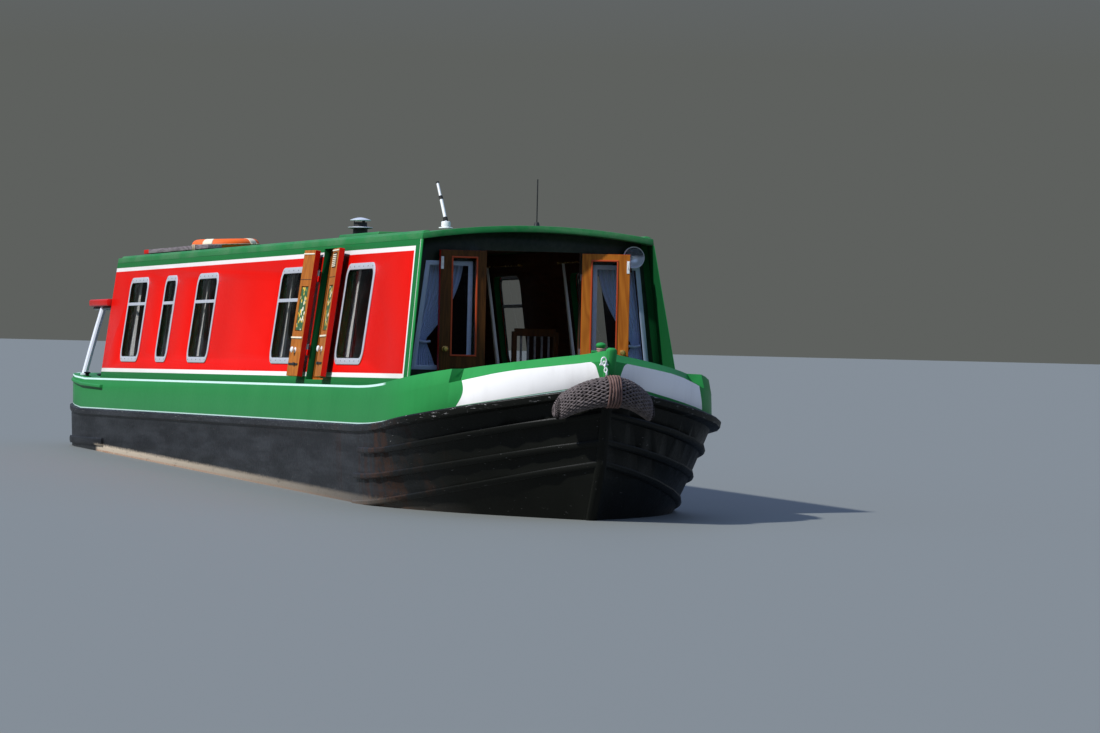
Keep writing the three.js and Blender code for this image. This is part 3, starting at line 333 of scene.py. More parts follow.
# A grid of cloth or skin, bent to a shape that is given from 0 to 1 both ways
def grid(columns, rows, shape):
    deselectAll()
    bpy.ops.mesh.primitive_grid_add(x_subdivisions=columns, y_subdivisions=rows, size=1)
    thing = bpy.context.object
    for vertex in thing.data.vertices:
        vertex.co = shape(vertex.co.x + 0.5, vertex.co.y + 0.5)
    bpy.ops.object.shade_smooth()
    return thing


# A copy of a CAD node with its doubles merged and its sharp edges eased
def eased(node, bevel=0.0):
    thing = linked(node + "Skin", frame["nodes"][node].data.copy())
    with editing(thing):
        bpy.ops.mesh.customdata_custom_splitnormals_clear()
        bpy.ops.mesh.remove_doubles(threshold=weldGap)
        bpy.ops.mesh.dissolve_limited(angle_limit=math.radians(flatDegrees))
    if bevel:
        bevelEdges(thing, bevel, 2, easeDegrees)
    return smooth(thing, easeDegrees)


def skin(node, paints, bevel=0.0):
    return addPiece(node + "Skin", eased(node, bevel), nodeSlot[node], paints, node,
                    body=frame["nodes"][node]["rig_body"])


# Shader nodes. A socket's value works in sums, and each sum becomes a node
class Value:
    def __init__(self, socket):
        self.socket = socket

    def clamped(self):
        self.socket.node.use_clamp = True
        return self

    def __add__(self, other):
        return calc("ADD", self, other)

    def __sub__(self, other):
        return calc("SUBTRACT", self, other)

    def __rsub__(self, other):
        return calc("SUBTRACT", other, self)

    def __mul__(self, other):
        return calc("MULTIPLY", self, other)

    def __truediv__(self, other):
        return calc("DIVIDE", self, other)


def rgb(text):
    parts = [int(text[i:i + 2], 16) / 255 for i in (0, 2, 4)]
    linear = [c / 12.92 if c <= 0.04045 else ((c + 0.055) / 1.055) ** 2.4 for c in parts]
    return (*linear, 1)


def addNode(tree, kind, **settings):
    node = tree.nodes.new(kind)
    for key, value in settings.items():
        setattr(node, key, value)
    return node


def feed(value, socket):
    if isinstance(value, Value):
        socket.id_data.links.new(value.socket, socket)
    else:
        socket.default_value = rgb(value) if isinstance(value, str) else value


def treeOf(*values):
    return next(value.socket.id_data for value in values if isinstance(value, Value))


def calc(operation, *values):
    node = addNode(treeOf(*values), "ShaderNodeMath", operation=operation)
    for value, socket in zip(values, node.inputs):
        feed(value, socket)
    return Value(node.outputs[0])


# One past the edge, nought before it
def past(value, edge, soft=0.001):
    return calc("MULTIPLY_ADD", value - edge, 0.5 / soft, 0.5).clamped()


def before(value, edge, soft=0.001):
    return 1.0 - past(value, edge, soft)


def between(value, low, high, soft=0.001):
    return (past(value, low, soft) - past(value, high, soft)).clamped()


def mix(amount, first, second, mode="MIX"):
    values = (amount, first, second)
    node = addNode(treeOf(*values), "ShaderNodeMix", data_type="RGBA", blend_type=mode)
    for value, index in zip(values, (0, 6, 7)):
        feed(value, node.inputs[index])
    return Value(node.outputs[2])


def grey(value):
    node = addNode(treeOf(value), "ShaderNodeCombineColor")
    for socket in node.inputs:
        feed(value, socket)
    return Value(node.outputs[0])


def split(vector):
    node = addNode(treeOf(vector), "ShaderNodeSeparateXYZ")
    feed(vector, node.inputs[0])
    return [Value(socket) for socket in node.outputs]


def noise(vector, scale, detail=4.0, roughness=0.55, distortion=0.0):
    node = addNode(treeOf(vector), "ShaderNodeTexNoise")
    settings = {"Vector": vector, "Scale": scale, "Detail": detail, "Roughness": roughness,
                "Distortion": distortion}
    for label, value in settings.items():
        feed(value, node.inputs[label])
    return Value(node.outputs["Fac"])


def pointOf(tree, kind="Object"):
    return Value(addNode(tree, "ShaderNodeTexCoord").outputs[kind])


def mapped(vector, scale=(1, 1, 1), rotation=(0, 0, 0)):
    node = addNode(treeOf(vector), "ShaderNodeMapping")
    for label, value in {"Vector": vector, "Scale": scale, "Rotation": rotation}.items():
        feed(value, node.inputs[label])
    return Value(node.outputs["Vector"])


def bump(height, strength, distance):
    node = addNode(treeOf(height), "ShaderNodeBump")
    for label, value in {"Strength": strength, "Distance": distance, "Height": height}.items():
        feed(value, node.inputs[label])
    return Value(node.outputs["Normal"])


def makeGroup(name, **inputs):
    group = bpy.data.node_groups.new(name, "ShaderNodeTree")
    for label, value in inputs.items():
        kind = {str: "Color", tuple: "Vector", float: "Float"}[type(value)]
        socket = group.interface.new_socket(label, in_out="INPUT", socket_type="NodeSocket" + kind)
        socket.default_value = rgb(value) if kind == "Color" else value
    return group, {socket.name: Value(socket) for socket in group.nodes.new("NodeGroupInput").outputs}


def closeGroup(group, **outputs):
    for label in outputs:
        kind = "Color" if label == "Color" else "Float"
        group.interface.new_socket(label, in_out="OUTPUT", socket_type="NodeSocket" + kind)
    end = group.nodes.new("NodeGroupOutput")
    for label, value in outputs.items():
        feed(value, end.inputs[label])
    return group


def useGroup(tree, name, **values):
    node = addNode(tree, "ShaderNodeGroup", node_tree=groups[name])
    for label, value in values.items():
        feed(value, node.inputs[label])
    return {socket.name: Value(socket) for socket in node.outputs}


# The floor, which the hull reaches through, rises a little towards the stern
floor = {"size": 160, "upAtFoot": -0.775, "risePerMetreAft": 0.0183, "color": "777a76"}


# Where a point lies on the boat's drawing
def makeBoatPlace():
    group = makeGroup("boatPlace")[0]
    x, y, z = split(pointOf(group))
    x = x - originX
    up = z - deckUp
    out = up * boat["tumble"] + calc("ABSOLUTE", y) - boat["sideFoot"]
    run = ((x - boat["bowRiseStart"]) / boat["bowRiseLength"]).clamped()
    lift = ((boat["sternRiseStart"] - x) / boat["sternRiseLength"]).clamped() * boat["sternRise"]
    deck = calc("POWER", run, boat["deckCurve"]) * boat["deckRise"] + lift
    strake = calc("POWER", run, boat["strakeCurve"]) * boat["strakeRise"] + lift - boat["strakeDrop"]
    water = x * -floor["risePerMetreAft"] + floor["upAtFoot"]
    return closeGroup(group, X=x, Y=y, Up=up, Out=out, Drop=deck - up, Above=up - strake, Wet=up - water)


# Enamel with faint mottling, dust and rain streaks
def makePaintWear():
    group, given = makeGroup("paintWear", Base="808080", Dust=0.15, Streaks=0.2, Gloss=0.35)
    point = pointOf(group)
    broad = noise(point, 1.4, 5)
    fine = noise(point, 34, 4, 0.6)
    streak = noise(mapped(point, (16, 16, 1.1)), 1.0, 5, 0.6)
    base = mix(1.0, given["Base"], grey(broad * 0.16 + 0.92), "MULTIPLY")
    dark = past(streak, 0.60, 0.10) * given["Streaks"]
    base = mix(dark, base, mix(1.0, base, (0.45, 0.42, 0.38, 1), "MULTIPLY"))
    dust = past(broad * (fine + 0.5), 0.54, 0.14) * given["Dust"]
    rough = fine * 0.14 + (given["Gloss"] - 0.07) + dust * 0.5
    return closeGroup(group, Color=mix(dust, base, "8d8a80"), Roughness=rough, Height=fine + broad)


# Grain runs along the drawing's first axis
def makeWoodGrain():
    group, given = makeGroup("woodGrain", Vector=(0, 0, 0), Pale="c98a3c", Dark="8a4f1a")
    drift = noise(mapped(given["Vector"], (1.2, 9, 9)), 1.0, 3, 0.5, 0.4)
    rings = calc("PINGPONG", calc("FRACT", drift * 9.0), 0.5)
    fibre = noise(mapped(given["Vector"], (6, 260, 260)), 1.0, 4, 0.65)
    tone = (rings * 1.1 + fibre * 0.55).clamped()
    return closeGroup(group, Color=mix(tone, given["Dark"], given["Pale"]), Height=fibre + rings * 0.6)


# Threads across and down, from the piece's own UV map
def makeClothWeave():
    group, given = makeGroup("clothWeave", Base="cccccc", Threads=900.0)
    point = pointOf(group, "UV")
    across, down = split(point)[:2]
    weave = calc("SINE", across * given["Threads"]) * calc("SINE", down * given["Threads"]) * 0.5 + 0.5
    slub = noise(mapped(point, (40, 220, 1)), 1.0, 3)
    shade = weave * 0.10 + (slub * 0.2 + 0.80)
    return closeGroup(group, Color=mix(1.0, given["Base"], grey(shade), "MULTIPLY"), Height=weave + slub)


groups = {"place": makeBoatPlace(), "paint": makePaintWear(), "wood": makeWoodGrain(),
          "cloth": makeClothWeave()}
socketNames = {"color": "Base Color", "roughness": "Roughness", "metal": "Metallic",
               "specular": "Specular IOR Level",
               "normal": "Normal", "alpha": "Alpha", "coat": "Coat Weight", "coatRough": "Coat Roughness",
               "sheen": "Sheen Weight"}


def setShader(material, **values):
    inputs = material.node_tree.nodes["Principled BSDF"].inputs
    for key, value in values.items():
        feed(value, inputs[socketNames[key]])
    return material


def newMaterial(name, roughness=0.5, metal=0.0, specular=0.5):
    material = bpy.data.materials.new(name)
    material.use_nodes = True
    setShader(material, roughness=roughness, metal=metal, specular=specular)
    return material, material.node_tree


def wearPaint(material, base, dust, streaks, gloss):
    worn = useGroup(material.node_tree, "paint", Base=base, Dust=dust, Streaks=streaks, Gloss=gloss)
    return setShader(material, color=worn["Color"], roughness=worn["Roughness"],
                     normal=bump(worn["Height"], 0.3, 0.0004))


def paintFinish(name, base, dust=0.12, streaks=0.2, gloss=0.35, specular=0.35):
    return wearPaint(newMaterial(name, specular=specular)[0], base, dust, streaks, gloss)


# Wood with its grain along the boat, or turned upright
def woodFinish(name, pale, dark, turn, roughness, coat):
    material, tree = newMaterial(name, roughness, specular=0.15)
    grain = useGroup(tree, "wood", Vector=mapped(pointOf(tree), rotation=(0, turn, 0)), Pale=pale, Dark=dark)
    return setShader(material, color=grain["Color"], normal=bump(grain["Height"], 0.25, 0.0006), coat=coat,
                     coatRough=0.15)


def metalFinish(name, base, roughness, metal, tarnish, amount):
    material, tree = newMaterial(name, roughness, metal)
    point = pointOf(tree)
    cloud = noise(point, 22, 5, 0.6)
    brush = noise(point, 240, 3, 0.6)
    return setShader(material, color=mix(past(cloud, 0.60, 0.12) * amount, base, tarnish),
                     roughness=(cloud * 0.22 + (brush * 0.10 + (roughness - 0.16))).clamped(),
                     normal=bump(brush, 0.15, 0.0003))


def clothFinish(name, base):
    material, tree = newMaterial(name, 0.9, specular=0.2)
    cloth = useGroup(tree, "cloth", Base=base)
    return setShader(material, color=cloth["Color"], normal=bump(cloth["Height"], 0.4, 0.0004), sheen=0.25)


# Window glass: dark and part clear, more mirror-like at a slant
def glassFinish(name, tint, clear, specular=0.35):
    material, tree = newMaterial(name, 0.04, specular=specular)
    grime = noise(pointOf(tree), 9, 4, 0.6)
    slant = addNode(tree, "ShaderNodeLayerWeight")
    feed(0.18, slant.inputs["Blend"])
    return setShader(material, color=mix(past(grime, 0.62, 0.12) * 0.2, tint, "6d706a"),
                     roughness=grime * 0.06 + 0.01,
                     alpha=(Value(slant.outputs["Facing"]) * 0.18 + clear).clamped())


def ropeFinish(name, base, dark):
    material, tree = newMaterial(name, 0.9, specular=0.15)
    point = pointOf(tree)
    fibre = noise(point, 260.0, 3, 0.7)
    patch = noise(point, 26, 4, 0.6)
    tone = (fibre * 0.6 + (patch * 1.1 + -0.35)).clamped()
    return setShader(material, color=mix(tone, dark, base), normal=bump(fibre, 0.6, 0.002))


# Hull: black bitumen with rust, chips on its edges and a lime band just over the floor
hull = {
    "bow": "12130f",
    "stern": "1c1d1f",
    "scuffed": ("37393c", 0.55),
    "rust": ("5a3a26", 0.3),
    "chip": ("c9c6c2", 0.5),
    "lime": ("d6c4ab", 0.95),
    "tide": ("a0603a", 0.8),
    "tideHigh": 0.012,
    "limeHigh": 0.055,
    "limeFrom": -10.0,
    "limeFadeFrom": -9.5,
    "limeFadeTo": 0.6,
    "splash": (-1.2, 0.3),
    "guard": (-0.052, 0.004),
}


def hullFinish():
    material, tree = newMaterial("hullBitumen", 0.6, specular=0.12)
    at = useGroup(tree, "place")
    point = pointOf(tree)
    cloud = noise(point, 2.2, 6, 0.62)
    fine = noise(point, 46, 5, 0.65)
    run = noise(mapped(point, (7, 7, 0.8)), 1.0, 6, 0.62)
    # Scuffed grey along the side, near black round the bow
    old = before(at["X"], 0.1, 0.5)
    scuff = past(noise(mapped(point, (1.2, 1.2, 9)), 1.0, 6, 0.65), 0.52, 0.10) * old
    rust = past(run, 0.56, 0.06) * past(fine, 0.42, 0.10) * between(at["X"], *hull["splash"], 0.4)
    guard = between(at["Above"], *hull["guard"], 0.006)
    chips = past(guard * 0.07 + noise(mapped(point, (3, 3, 18)), 6.0, 4, 0.7), 0.71, 0.02) * past(cloud,
                                                                                                  0.42, 0.05)
    fade = ((hull["limeFadeTo"] - at["X"]) / (hull["limeFadeTo"] - hull["limeFadeFrom"])).clamped()
    reach = fade * past(at["X"], hull["limeFrom"], 0.06)
    patchy = past(noise(mapped(point, (5, 5, 30)), 1.0, 5, 0.7), 0.30, 0.12)
    lime = before(at["Wet"], (fine - 0.5) * 0.05 + hull["limeHigh"], 0.012) * reach * patchy
    tide = before(at["Wet"], hull["tideHigh"], 0.006) * reach * past(fine, 0.45, 0.1)
    color = mix(old, hull["bow"], hull["stern"])
    for mask, layer in ((scuff, "scuffed"), (rust, "rust"), (chips, "chip"), (lime, "lime"), (tide, "tide")):
        paint, share = hull[layer]
        color = mix(mask * share, color, paint)
    return setShader(material, color=color, roughness=(fine * 0.35 + (rust * 0.3 + 0.28)).clamped(),
                     normal=bump(cloud * 2.0 + (rust * -0.5 + fine), 0.5, 0.0025))


# Topsides: green enamel, lighter towards the bow as painted sunlight, painted highlights along the deck edge
# and the guard, and a blank white panel at the bow.
# Pairs are for the starboard and the port panel, but for the drop, which is aft and fore
band = {
    "green": "2a7f43",
    "bowSunlitGreen": "2f8a47",
    # line is the colour of the painted highlights along the deck edge and the guard
    "line": "c9e6dc",
    "panelWhite": "f8f5f0",
    "stripBlack": "15171a",
    "stripTo": -9.0,
    "panelFrom": (0.868, 0.838),
    "panelSlant": (0.042, 0.062),
    "panelTo": (1.512, 1.490),
    "panelAbove": (0.012, 0.026),
    "panelBow": (0.024, -0.012),
    "panelDrop": (0.088, 0.060),
    "panelDropX": (0.867, 1.17),
    "panelRound": 0.040,
    "deckGlint": (0.0015, 0.016),
    "guardGlint": (-0.002, 0.009),
    "lineTo": -0.1,
}


def bandFinish():
    material, tree = newMaterial("bandEnamel", specular=0.04)
    at = useGroup(tree, "place")
    port = past(at["Y"], 0.0)

    # A value that differs from side to side
    def perSide(key):
        starboardValue, portValue = band[key]
        return port * (portValue - starboardValue) + starboardValue

    # Forward of the bow's start the green is lighter: painted sunlight and sheen on the bow
    color = mix(past(at["X"], 0.2, 0.5), band["green"], band["bowSunlitGreen"])
    # Painted highlights: a glint along the deck edge, stopping short of the bow, and one along the top of the
    # guard
    deckGlint = between(at["Drop"], *band["deckGlint"]) * before(at["X"], band["lineTo"], 0.05)
    color = mix(calc("MAXIMUM", deckGlint, between(at["Above"], *band["guardGlint"])), color, band["line"])
    # The panel's height across, from 0 at its foot to 1 at its top
    low = at["Above"] - perSide("panelAbove")
    (dropAft, dropFore), (aftX, foreX) = band["panelDrop"], band["panelDropX"]
    along = ((at["X"] - aftX) / (foreX - aftX)).clamped()
    high = at["Drop"] - (along * (dropFore - dropAft) + dropAft)
    across = low / calc("MAXIMUM", low + high, 0.01)
    curve = calc("SINE", across * math.pi) * perSide("panelBow")
    start = curve + (across * perSide("panelSlant") + perSide("panelFrom"))
    mid = calc("ABSOLUTE", across * 2.0 + -1.0)
    bend = calc("SQRT", (1.0 - calc("POWER", mid, 6.0)).clamped())
    stop = perSide("panelTo") - (1.0 - bend) * band["panelRound"]
    panel = past(at["X"], start) * before(at["X"], stop) * past(low, 0.0) * past(high, 0.0)
    color = mix(panel, color, band["panelWhite"])
    color = mix(before(at["Drop"], -0.003) * before(at["X"], band["stripTo"]), color, band["stripBlack"])
    return wearPaint(material, color, 0.02, 0.10, 0.33)


# Cabin side: a red panel in a white border on green, lined with wood inside
sidePaint = {
    "red": "e01209",
    "white": "efe6e2",
    "green": "206f39",
    "edgeGreen": "2b8a47",
    "shadedReveal": "145028",
    "borderWide": 0.030,
    "panelLow": 0.0505,
    "panelHigh": 0.9014,
    "panelAft": -10.66,
    "panelFrontX": -0.104,
    "panelFrontSlope": -0.2323,
    "edgeStrip": 0.040,
    "edgeLine": 0.008,
    "liningOut": -0.046,
}
lining = {"Pale": "4a2a1a", "Dark": "261208"}
# The bulkheads' paint is a green darkened to near black: painted shade under the roof's overhang
bulkhead = {"paint": "0b2113", "skin": 0.004}
roofPaint = {"green": "257a3f", "under": "5a3a22", "skin": 0.006}


def sideFinish():
    material, tree = newMaterial("cabinSideEnamel", specular=0.02)
    at = useGroup(tree, "place")
    front = at["Up"] * sidePaint["panelFrontSlope"] + sidePaint["panelFrontX"]

    def panelMask(shrink):
        upright = between(at["Up"], sidePaint["panelLow"] + shrink, sidePaint["panelHigh"] - shrink)
        return upright * past(at["X"], sidePaint["panelAft"] + shrink) * past(front - shrink, at["X"])

    color = mix(panelMask(0.0), sidePaint["green"], sidePaint["white"])
    color = mix(panelMask(sidePaint["borderWide"]), color, sidePaint["red"])
    slope = (boat["frontTopX"] - boat["frontFootX"]) / boat["sideHeight"]
    back = at["Up"] * slope + boat["frontFootX"] - at["X"]
    strip = sidePaint["edgeStrip"]
    color = mix(before(back, strip), color, sidePaint["edgeGreen"])
    color = mix(between(back, strip, strip + sidePaint["edgeLine"]), color, sidePaint["white"])
    # The plate's edges and reveals are a darker green: green paint, darkened as painted shade
    color = mix(past(at["Out"], -0.004), sidePaint["shadedReveal"], color)
    inside = before(at["Out"], sidePaint["liningOut"])
    inside = inside * before(at["X"], boat["bulkheadX"] - boat["bulkheadThick"])
    grain = useGroup(tree, "wood", Vector=pointOf(tree), **lining)
    return wearPaint(material, mix(inside, color, grain["Color"]), 0.01, 0.03, 0.32)


def roofFinish():
    material, tree = newMaterial("roofEnamel", specular=0.12)
    at = useGroup(tree, "place")
    crown = boat["sideHeight"] + boat["roofCamber"] - boat["roofThick"] + roofPaint["skin"]
    under = at["Y"] * at["Y"] * (-boat["roofCamber"] / roofHalf ** 2) + crown
    inside = before(at["Up"], under) * before(at["X"], boat["bulkheadX"])
    inside = inside * before(calc("ABSOLUTE", at["Y"]), roofHalf - boat["sideThick"])
    return wearPaint(material, mix(inside, roofPaint["green"], roofPaint["under"]), 0.22, 0.08, 0.42)


# Bulkheads: near-black green outside, the green darkened as painted shade from the roof's overhang, wood
# inside
def bulkheadFinish(name, forward):
    material, tree = newMaterial(name, specular=0.3)
    at = useGroup(tree, "place")
    if forward:
        outer = past(at["X"], boat["bulkheadX"] - bulkhead["skin"])
    else:
        outer = before(at["X"], boat["cabinAft"] + bulkhead["skin"])
    grain = useGroup(tree, "wood", Vector=mapped(pointOf(tree), rotation=(0, math.pi / 2, 0)), **lining)
    return wearPaint(material, mix(outer, grain["Color"], bulkhead["paint"]), 0.08, 0.15, 0.35)


def deckFinish():
    material, tree = newMaterial("deckGrip", 0.85, specular=0.2)
    point = pointOf(tree)
    grit = noise(point, 420, 2, 0.7)
    patch = noise(point, 3.5, 5, 0.6)
    return setShader(material, color=mix(patch * 0.6, "4d5152", "6f6d66"), roughness=grit * 0.2 + 0.68,
                     normal=bump(grit, 0.8, 0.0012))


# A painted panel of petals in cream and yellow on green, of no particular pattern
def motifFinish():
    material, tree = newMaterial("hatchMotif", 0.35, specular=0.3)
    point = pointOf(tree)
    cells = addNode(tree, "ShaderNodeTexVoronoi")
    feed(point, cells.inputs["Vector"])
    feed(26, cells.inputs["Scale"])
    petals = before(Value(cells.outputs["Distance"]), 0.40, 0.05)
    tone = mix(past(noise(point, 14, 2), 0.5, 0.02), "e3b93c", "e9e2cc")
    return setShader(material, color=mix(petals, "35603a", tone), normal=bump(petals, 0.1, 0.0004))


# Grey boards with a red end at the stern
def plankFinish():
    material, tree = newMaterial("plankBoard", 0.75, specular=0.15)
    grain = useGroup(tree, "wood", Vector=pointOf(tree), Pale="8d8286", Dark="50464a")
    red = past(useGroup(tree, "place")["X"], -10.10)
    return setShader(material, color=mix(red, "c8160e", grain["Color"]),
                     normal=bump(grain["Height"], 0.35, 0.0008))


# Chrome with a painted reflection: dark over its upper half, bright below
def lampFinish():
    material, tree = newMaterial("lampChrome", 0.14, 0.35)
    cloud = noise(pointOf(tree), 30, 4, 0.6)
    paintedReflection = past(useGroup(tree, "place")["Up"], cloud * 0.03 + 0.856, 0.012)
    return setShader(material, color=mix(paintedReflection, "eef2f6", "3a4046"), roughness=cloud * 0.16 + 0.06,
                     normal=bump(cloud, 0.05, 0.0003))


addCamera()
upright = math.pi / 2
finish = {
    "hull": hullFinish(),
    "band": bandFinish(),
    "side": sideFinish(),
    "roof": roofFinish(),
    "frontBulkhead": bulkheadFinish("frontBulkheadPaint", True),
    "rearBulkhead": bulkheadFinish("rearBulkheadPaint", False),
    "green": paintFinish("glossGreen", "237a3e", specular=0.15),
    "darkGreen": paintFinish("darkGreen", "0a2415", specular=0.12),
    "red": paintFinish("leafEdgeRed", "cf160d", 0.03, 0.05, 0.3, 0.12),
    "railRed": paintFinish("railRed", "c01510", 0.04, 0.1, 0.3, 0.15),
    "railPost": paintFinish("railPost", "dfe2ea", 0.06, 0.1, 0.4, 0.2),
    "white": paintFinish("whiteEnamel", "e6e7e4", 0.10, 0.2, 0.3),
    "black": paintFinish("satinBlack", "17181a", 0.10, 0.1, 0.45),
    "gasket": paintFinish("rubberSeal", "101112", 0.1, 0.0, 0.7, 0.2),
    "ring": paintFinish("ringOrange", "f0641c", 0.15, 0.1, 0.6, 0.2),
    "cream": paintFinish("creamBand", "e8dcc0", 0.2, 0.1, 0.6, 0.2),
    "beadRed": paintFinish("beadRed", "b5461f", 0.03, 0.05, 0.3, 0.3),
    "deck": deckFinish(),
    "floorWood": woodFinish("floorBoards", "8a6238", "5c3d20", 0, 0.45, 0.3),
    "leafWood": woodFinish("leafVarnish", "c07426", "8c4611", upright, 0.35, 0.08),
    # A darker varnish: painted shade on the starboard front door, and the chair's dark wood
    "darkWoodAndShade": woodFinish("darkVarnishAndShade", "5c3814", "331c09", upright, 0.35, 0.1),
    "innerWood": woodFinish("liningBoards", "4a2a1a", "261208", 0, 0.4, 0.1),
    "greyWood": woodFinish("plankWood", "a3a29c", "71706b", 0, 0.75, 0.0),
    "plank": plankFinish(),
    "motif": motifFinish(),
    "silver": metalFinish("anodised", "cdd0d6", 0.40, 0.30, "8d9094", 0.25),
    # The corner frames' silver is darker and bluer: painted shade and painted sky reflection
    "shadedSkySilver": metalFinish("shadedFrame", "b9c8de", 0.42, 0.1, "8d97a4", 0.25),
    "steel": metalFinish("dullSteel", "7d8083", 0.45, 0.9, "6b4a30", 0.45),
    "brass": metalFinish("brass", "e3bd6a", 0.25, 0.8, "6b4c1c", 0.3),
    "bronze": metalFinish("castBronze", "a8793a", 0.38, 1.0, "4a5a48", 0.5),
    "lampChrome": lampFinish(),
    "lensGlass": glassFinish("lampLens", "c8d4de", 0.04),
    "glass": glassFinish("windowGlass", "0b0e0c", 0.16, 0.08),
    "cornerGlass": glassFinish("cornerGlass", "10171c", 0.05, 0.10),
    "curtain": clothFinish("whiteCurtain", "f6f3ea"),
    "blueCurtain": clothFinish("blueCurtain", "cfe0ff"),
    "fenderDarkAndShade": ropeFinish("fenderCore", "1c1817", "090807"),
    "fenderRope": ropeFinish("fenderStrand", "857a78", "1f1b1a"),
    "rope": ropeFinish("lineRope", "cfc0a8", "6e5d4a"),
    "pinkRope": ropeFinish("studRope", "c9a59a", "7d5a50"),
    "bindingRope": ropeFinish("bindingRope", "8d7068", "3a2c28"),
}
print("finishes made:", len(finish))


def addFloor():
    deselectAll()
    bpy.ops.mesh.primitive_plane_add(size=floor["size"])
    ground = bpy.context.object
    ground.name = "studioFloor"
    ground.location = place(0, 0, floor["upAtFoot"])
    ground.rotation_euler = (0, math.atan(floor["risePerMetreAft"]), 0)
    material = newMaterial("studioPale", 0.6, specular=0.1)[0]
    ground.data.materials.append(setShader(material, color=floor["color"]))


# Low sun from the right of the photograph, and a sky that is dark at the horizon
light = {
    "sunStrength": 4.3,
    "sunAngle": 2,
    "sunTurn": (45, 0, 15),
    "horizon": (0.17, 0.18, 0.17),
    "zenith": (0.46, 0.64, 1.10),
    "worldStrength": 0.66,
}


def addLights():
    bpy.ops.object.light_add(type="SUN")
    sun = bpy.context.object
    sun.data.energy = light["sunStrength"]
    sun.data.angle = math.radians(light["sunAngle"])
    sun.rotation_euler = [math.radians(a) for a in light["sunTurn"]]
    world = bpy.data.worlds.new("studioWorld")
    world.use_nodes = True
    background = world.node_tree.nodes["Background"]
    high = past(split(pointOf(world.node_tree, "Generated"))[2], 0.28, 0.22)
    feed(mix(high, (*light["horizon"], 1), (*light["zenith"], 1)), background.inputs["Color"])
    feed(light["worldStrength"], background.inputs["Strength"])
    bpy.context.scene.world = world
    bpy.context.scene.view_settings.view_transform = "Standard"


addFloor()
addLights()

# The steelwork: eased copies of the CAD solids, each with its finish and the width of its bevels
skins = [
    ("lower_hull", "hull", 0.004), ("base_plate", "hull", 0.0), ("swim", "hull", 0.003),
    ("counter_plate", "hull", 0.0), ("topsides", "band", 0.003), ("fore_deck", "band", 0.003),
    ("stern_deck", "deck", 0.002), ("well_floor", "deck", 0.002), ("engine_block", "steel", 0.008),
    ("ballast", "steel", 0.004), ("cabin_floor", "floorWood", 0.002),
    ("cabin_side_starboard", "side", 0.0015),
    ("cabin_side_port", "side", 0.0015), ("roof", "roof", 0.003), ("front_bulkhead", "frontBulkhead", 0.0015),
    ("rear_bulkhead", "rearBulkhead", 0.0015), ("propeller", "bronze", 0.0015),
    ("taffrail_top", "railRed", 0.004),
    ("sliding_hatch", "railRed", 0.003), ("roof_box", "green", 0.004), ("whip_aerial", "black", 0.0),
    ("plank", "plank", 0.002), ("plank_chock_1", "green", 0.001), ("plank_chock_2", "green", 0.001),
]
# The photograph shows the handrails and the box on the roof lower than the CAD has them
lowered = {"rails": 0.3, "railsIn": 0.060, "railsOver": 0.002, "box": 0.45}
wing = {"from": boat["bulkheadX"] + 0.001, "to": 0.3, "low": -0.2, "high": 1.2, "deep": -0.3, "plate": -0.008}
painted = {"railShadeUp": 0.572, "tillerRedUp": 0.255, "gripUp": 0.740, "gripX": -11.38}


def lowerRails(thing):
    for vertex in thing.data.vertices:
        at = vertex.co
        over = at.z - deckUp - roofUp(at.y)
        if abs(at.y) > roofHalf - lowered["railsIn"] and over > lowered["railsOver"]:
            at.z -= over * (1 - lowered["rails"])


def lowerBox(thing):
    lowest = min(vertex.co.z for vertex in thing.data.vertices)
    for vertex in thing.data.vertices:
        vertex.co.z = lowest + (vertex.co.z - lowest) * lowered["box"]


# Ahead of the bulkhead the cabin side is a single plate
def thinWing(thing, side):
    cutter = block(wing["from"], wing["to"], wing["low"], wing["high"], wing["deep"], wing["plate"], 0)
    moveTo(cutter, sideMatrix(side))
    modify(thing, "BOOLEAN", operation="DIFFERENCE", solver="EXACT", object=cutter)
    bpy.data.objects.remove(cutter)
    smooth(thing)


def addSkins():
    made = {node: skin(node, paint, bevel) for node, paint, bevel in skins}
    for sideName, side in sides.items():
        thinWing(made["cabin_side_" + sideName], side)
    lowerRails(made["roof"])
    lowerBox(made["roof_box"])
    # The rail frame's faces near its top, under the red top rail, are black: painted shade
    rails = skin("taffrail_frame", "railPost black")
    paintFaces(rails, 1, lambda c, n: c.z > deckUp + painted["railShadeUp"])
    tiller = skin("steering", "steel railRed floorWood", 0.002)
    paintFaces(tiller, 1, lambda c, n: c.z > deckUp + painted["tillerRedUp"])
    paintFaces(tiller, 2, lambda c, n: c.z > deckUp + painted["gripUp"] and c.x > originX + painted["gripX"])


addSkins()
print("steelwork eased:", len(skins))

# Windows: a rounded silver frame on the side, with its pane, seal, transom and screws.
# Each row has its aft and fore edge and the height of its transom, or 0 for none
windows = {
    "rows": {"1": (-9.86, -9.13, 0.599), "2": (-8.40, -7.97, 0.597), "3": (-7.14, -6.40, 0.597),
             "4": (-4.17, -3.43, 0.580), "5": (-2.12, -1.34, 0)},
    "low": 0.157,
    "high": 0.790,
    "radius": 0.075,
    "flange": 0.022,
    "rim": 0.042,
    "proud": 0.007,
    "seal": 0.006,
    "sealIn": 0.019,
    "paneIn": 0.015,
    "paneOut": -0.008,
    "paneThick": 0.006,
    "barWide": 0.024,
    "barEnd": 0.010,
    "screw": [(0, 0), (0.005, 0), (0.004, 0.00154), (0, 0.0022)],
    "screwStep": 0.15,
    "screwEnd": 0.06,
}


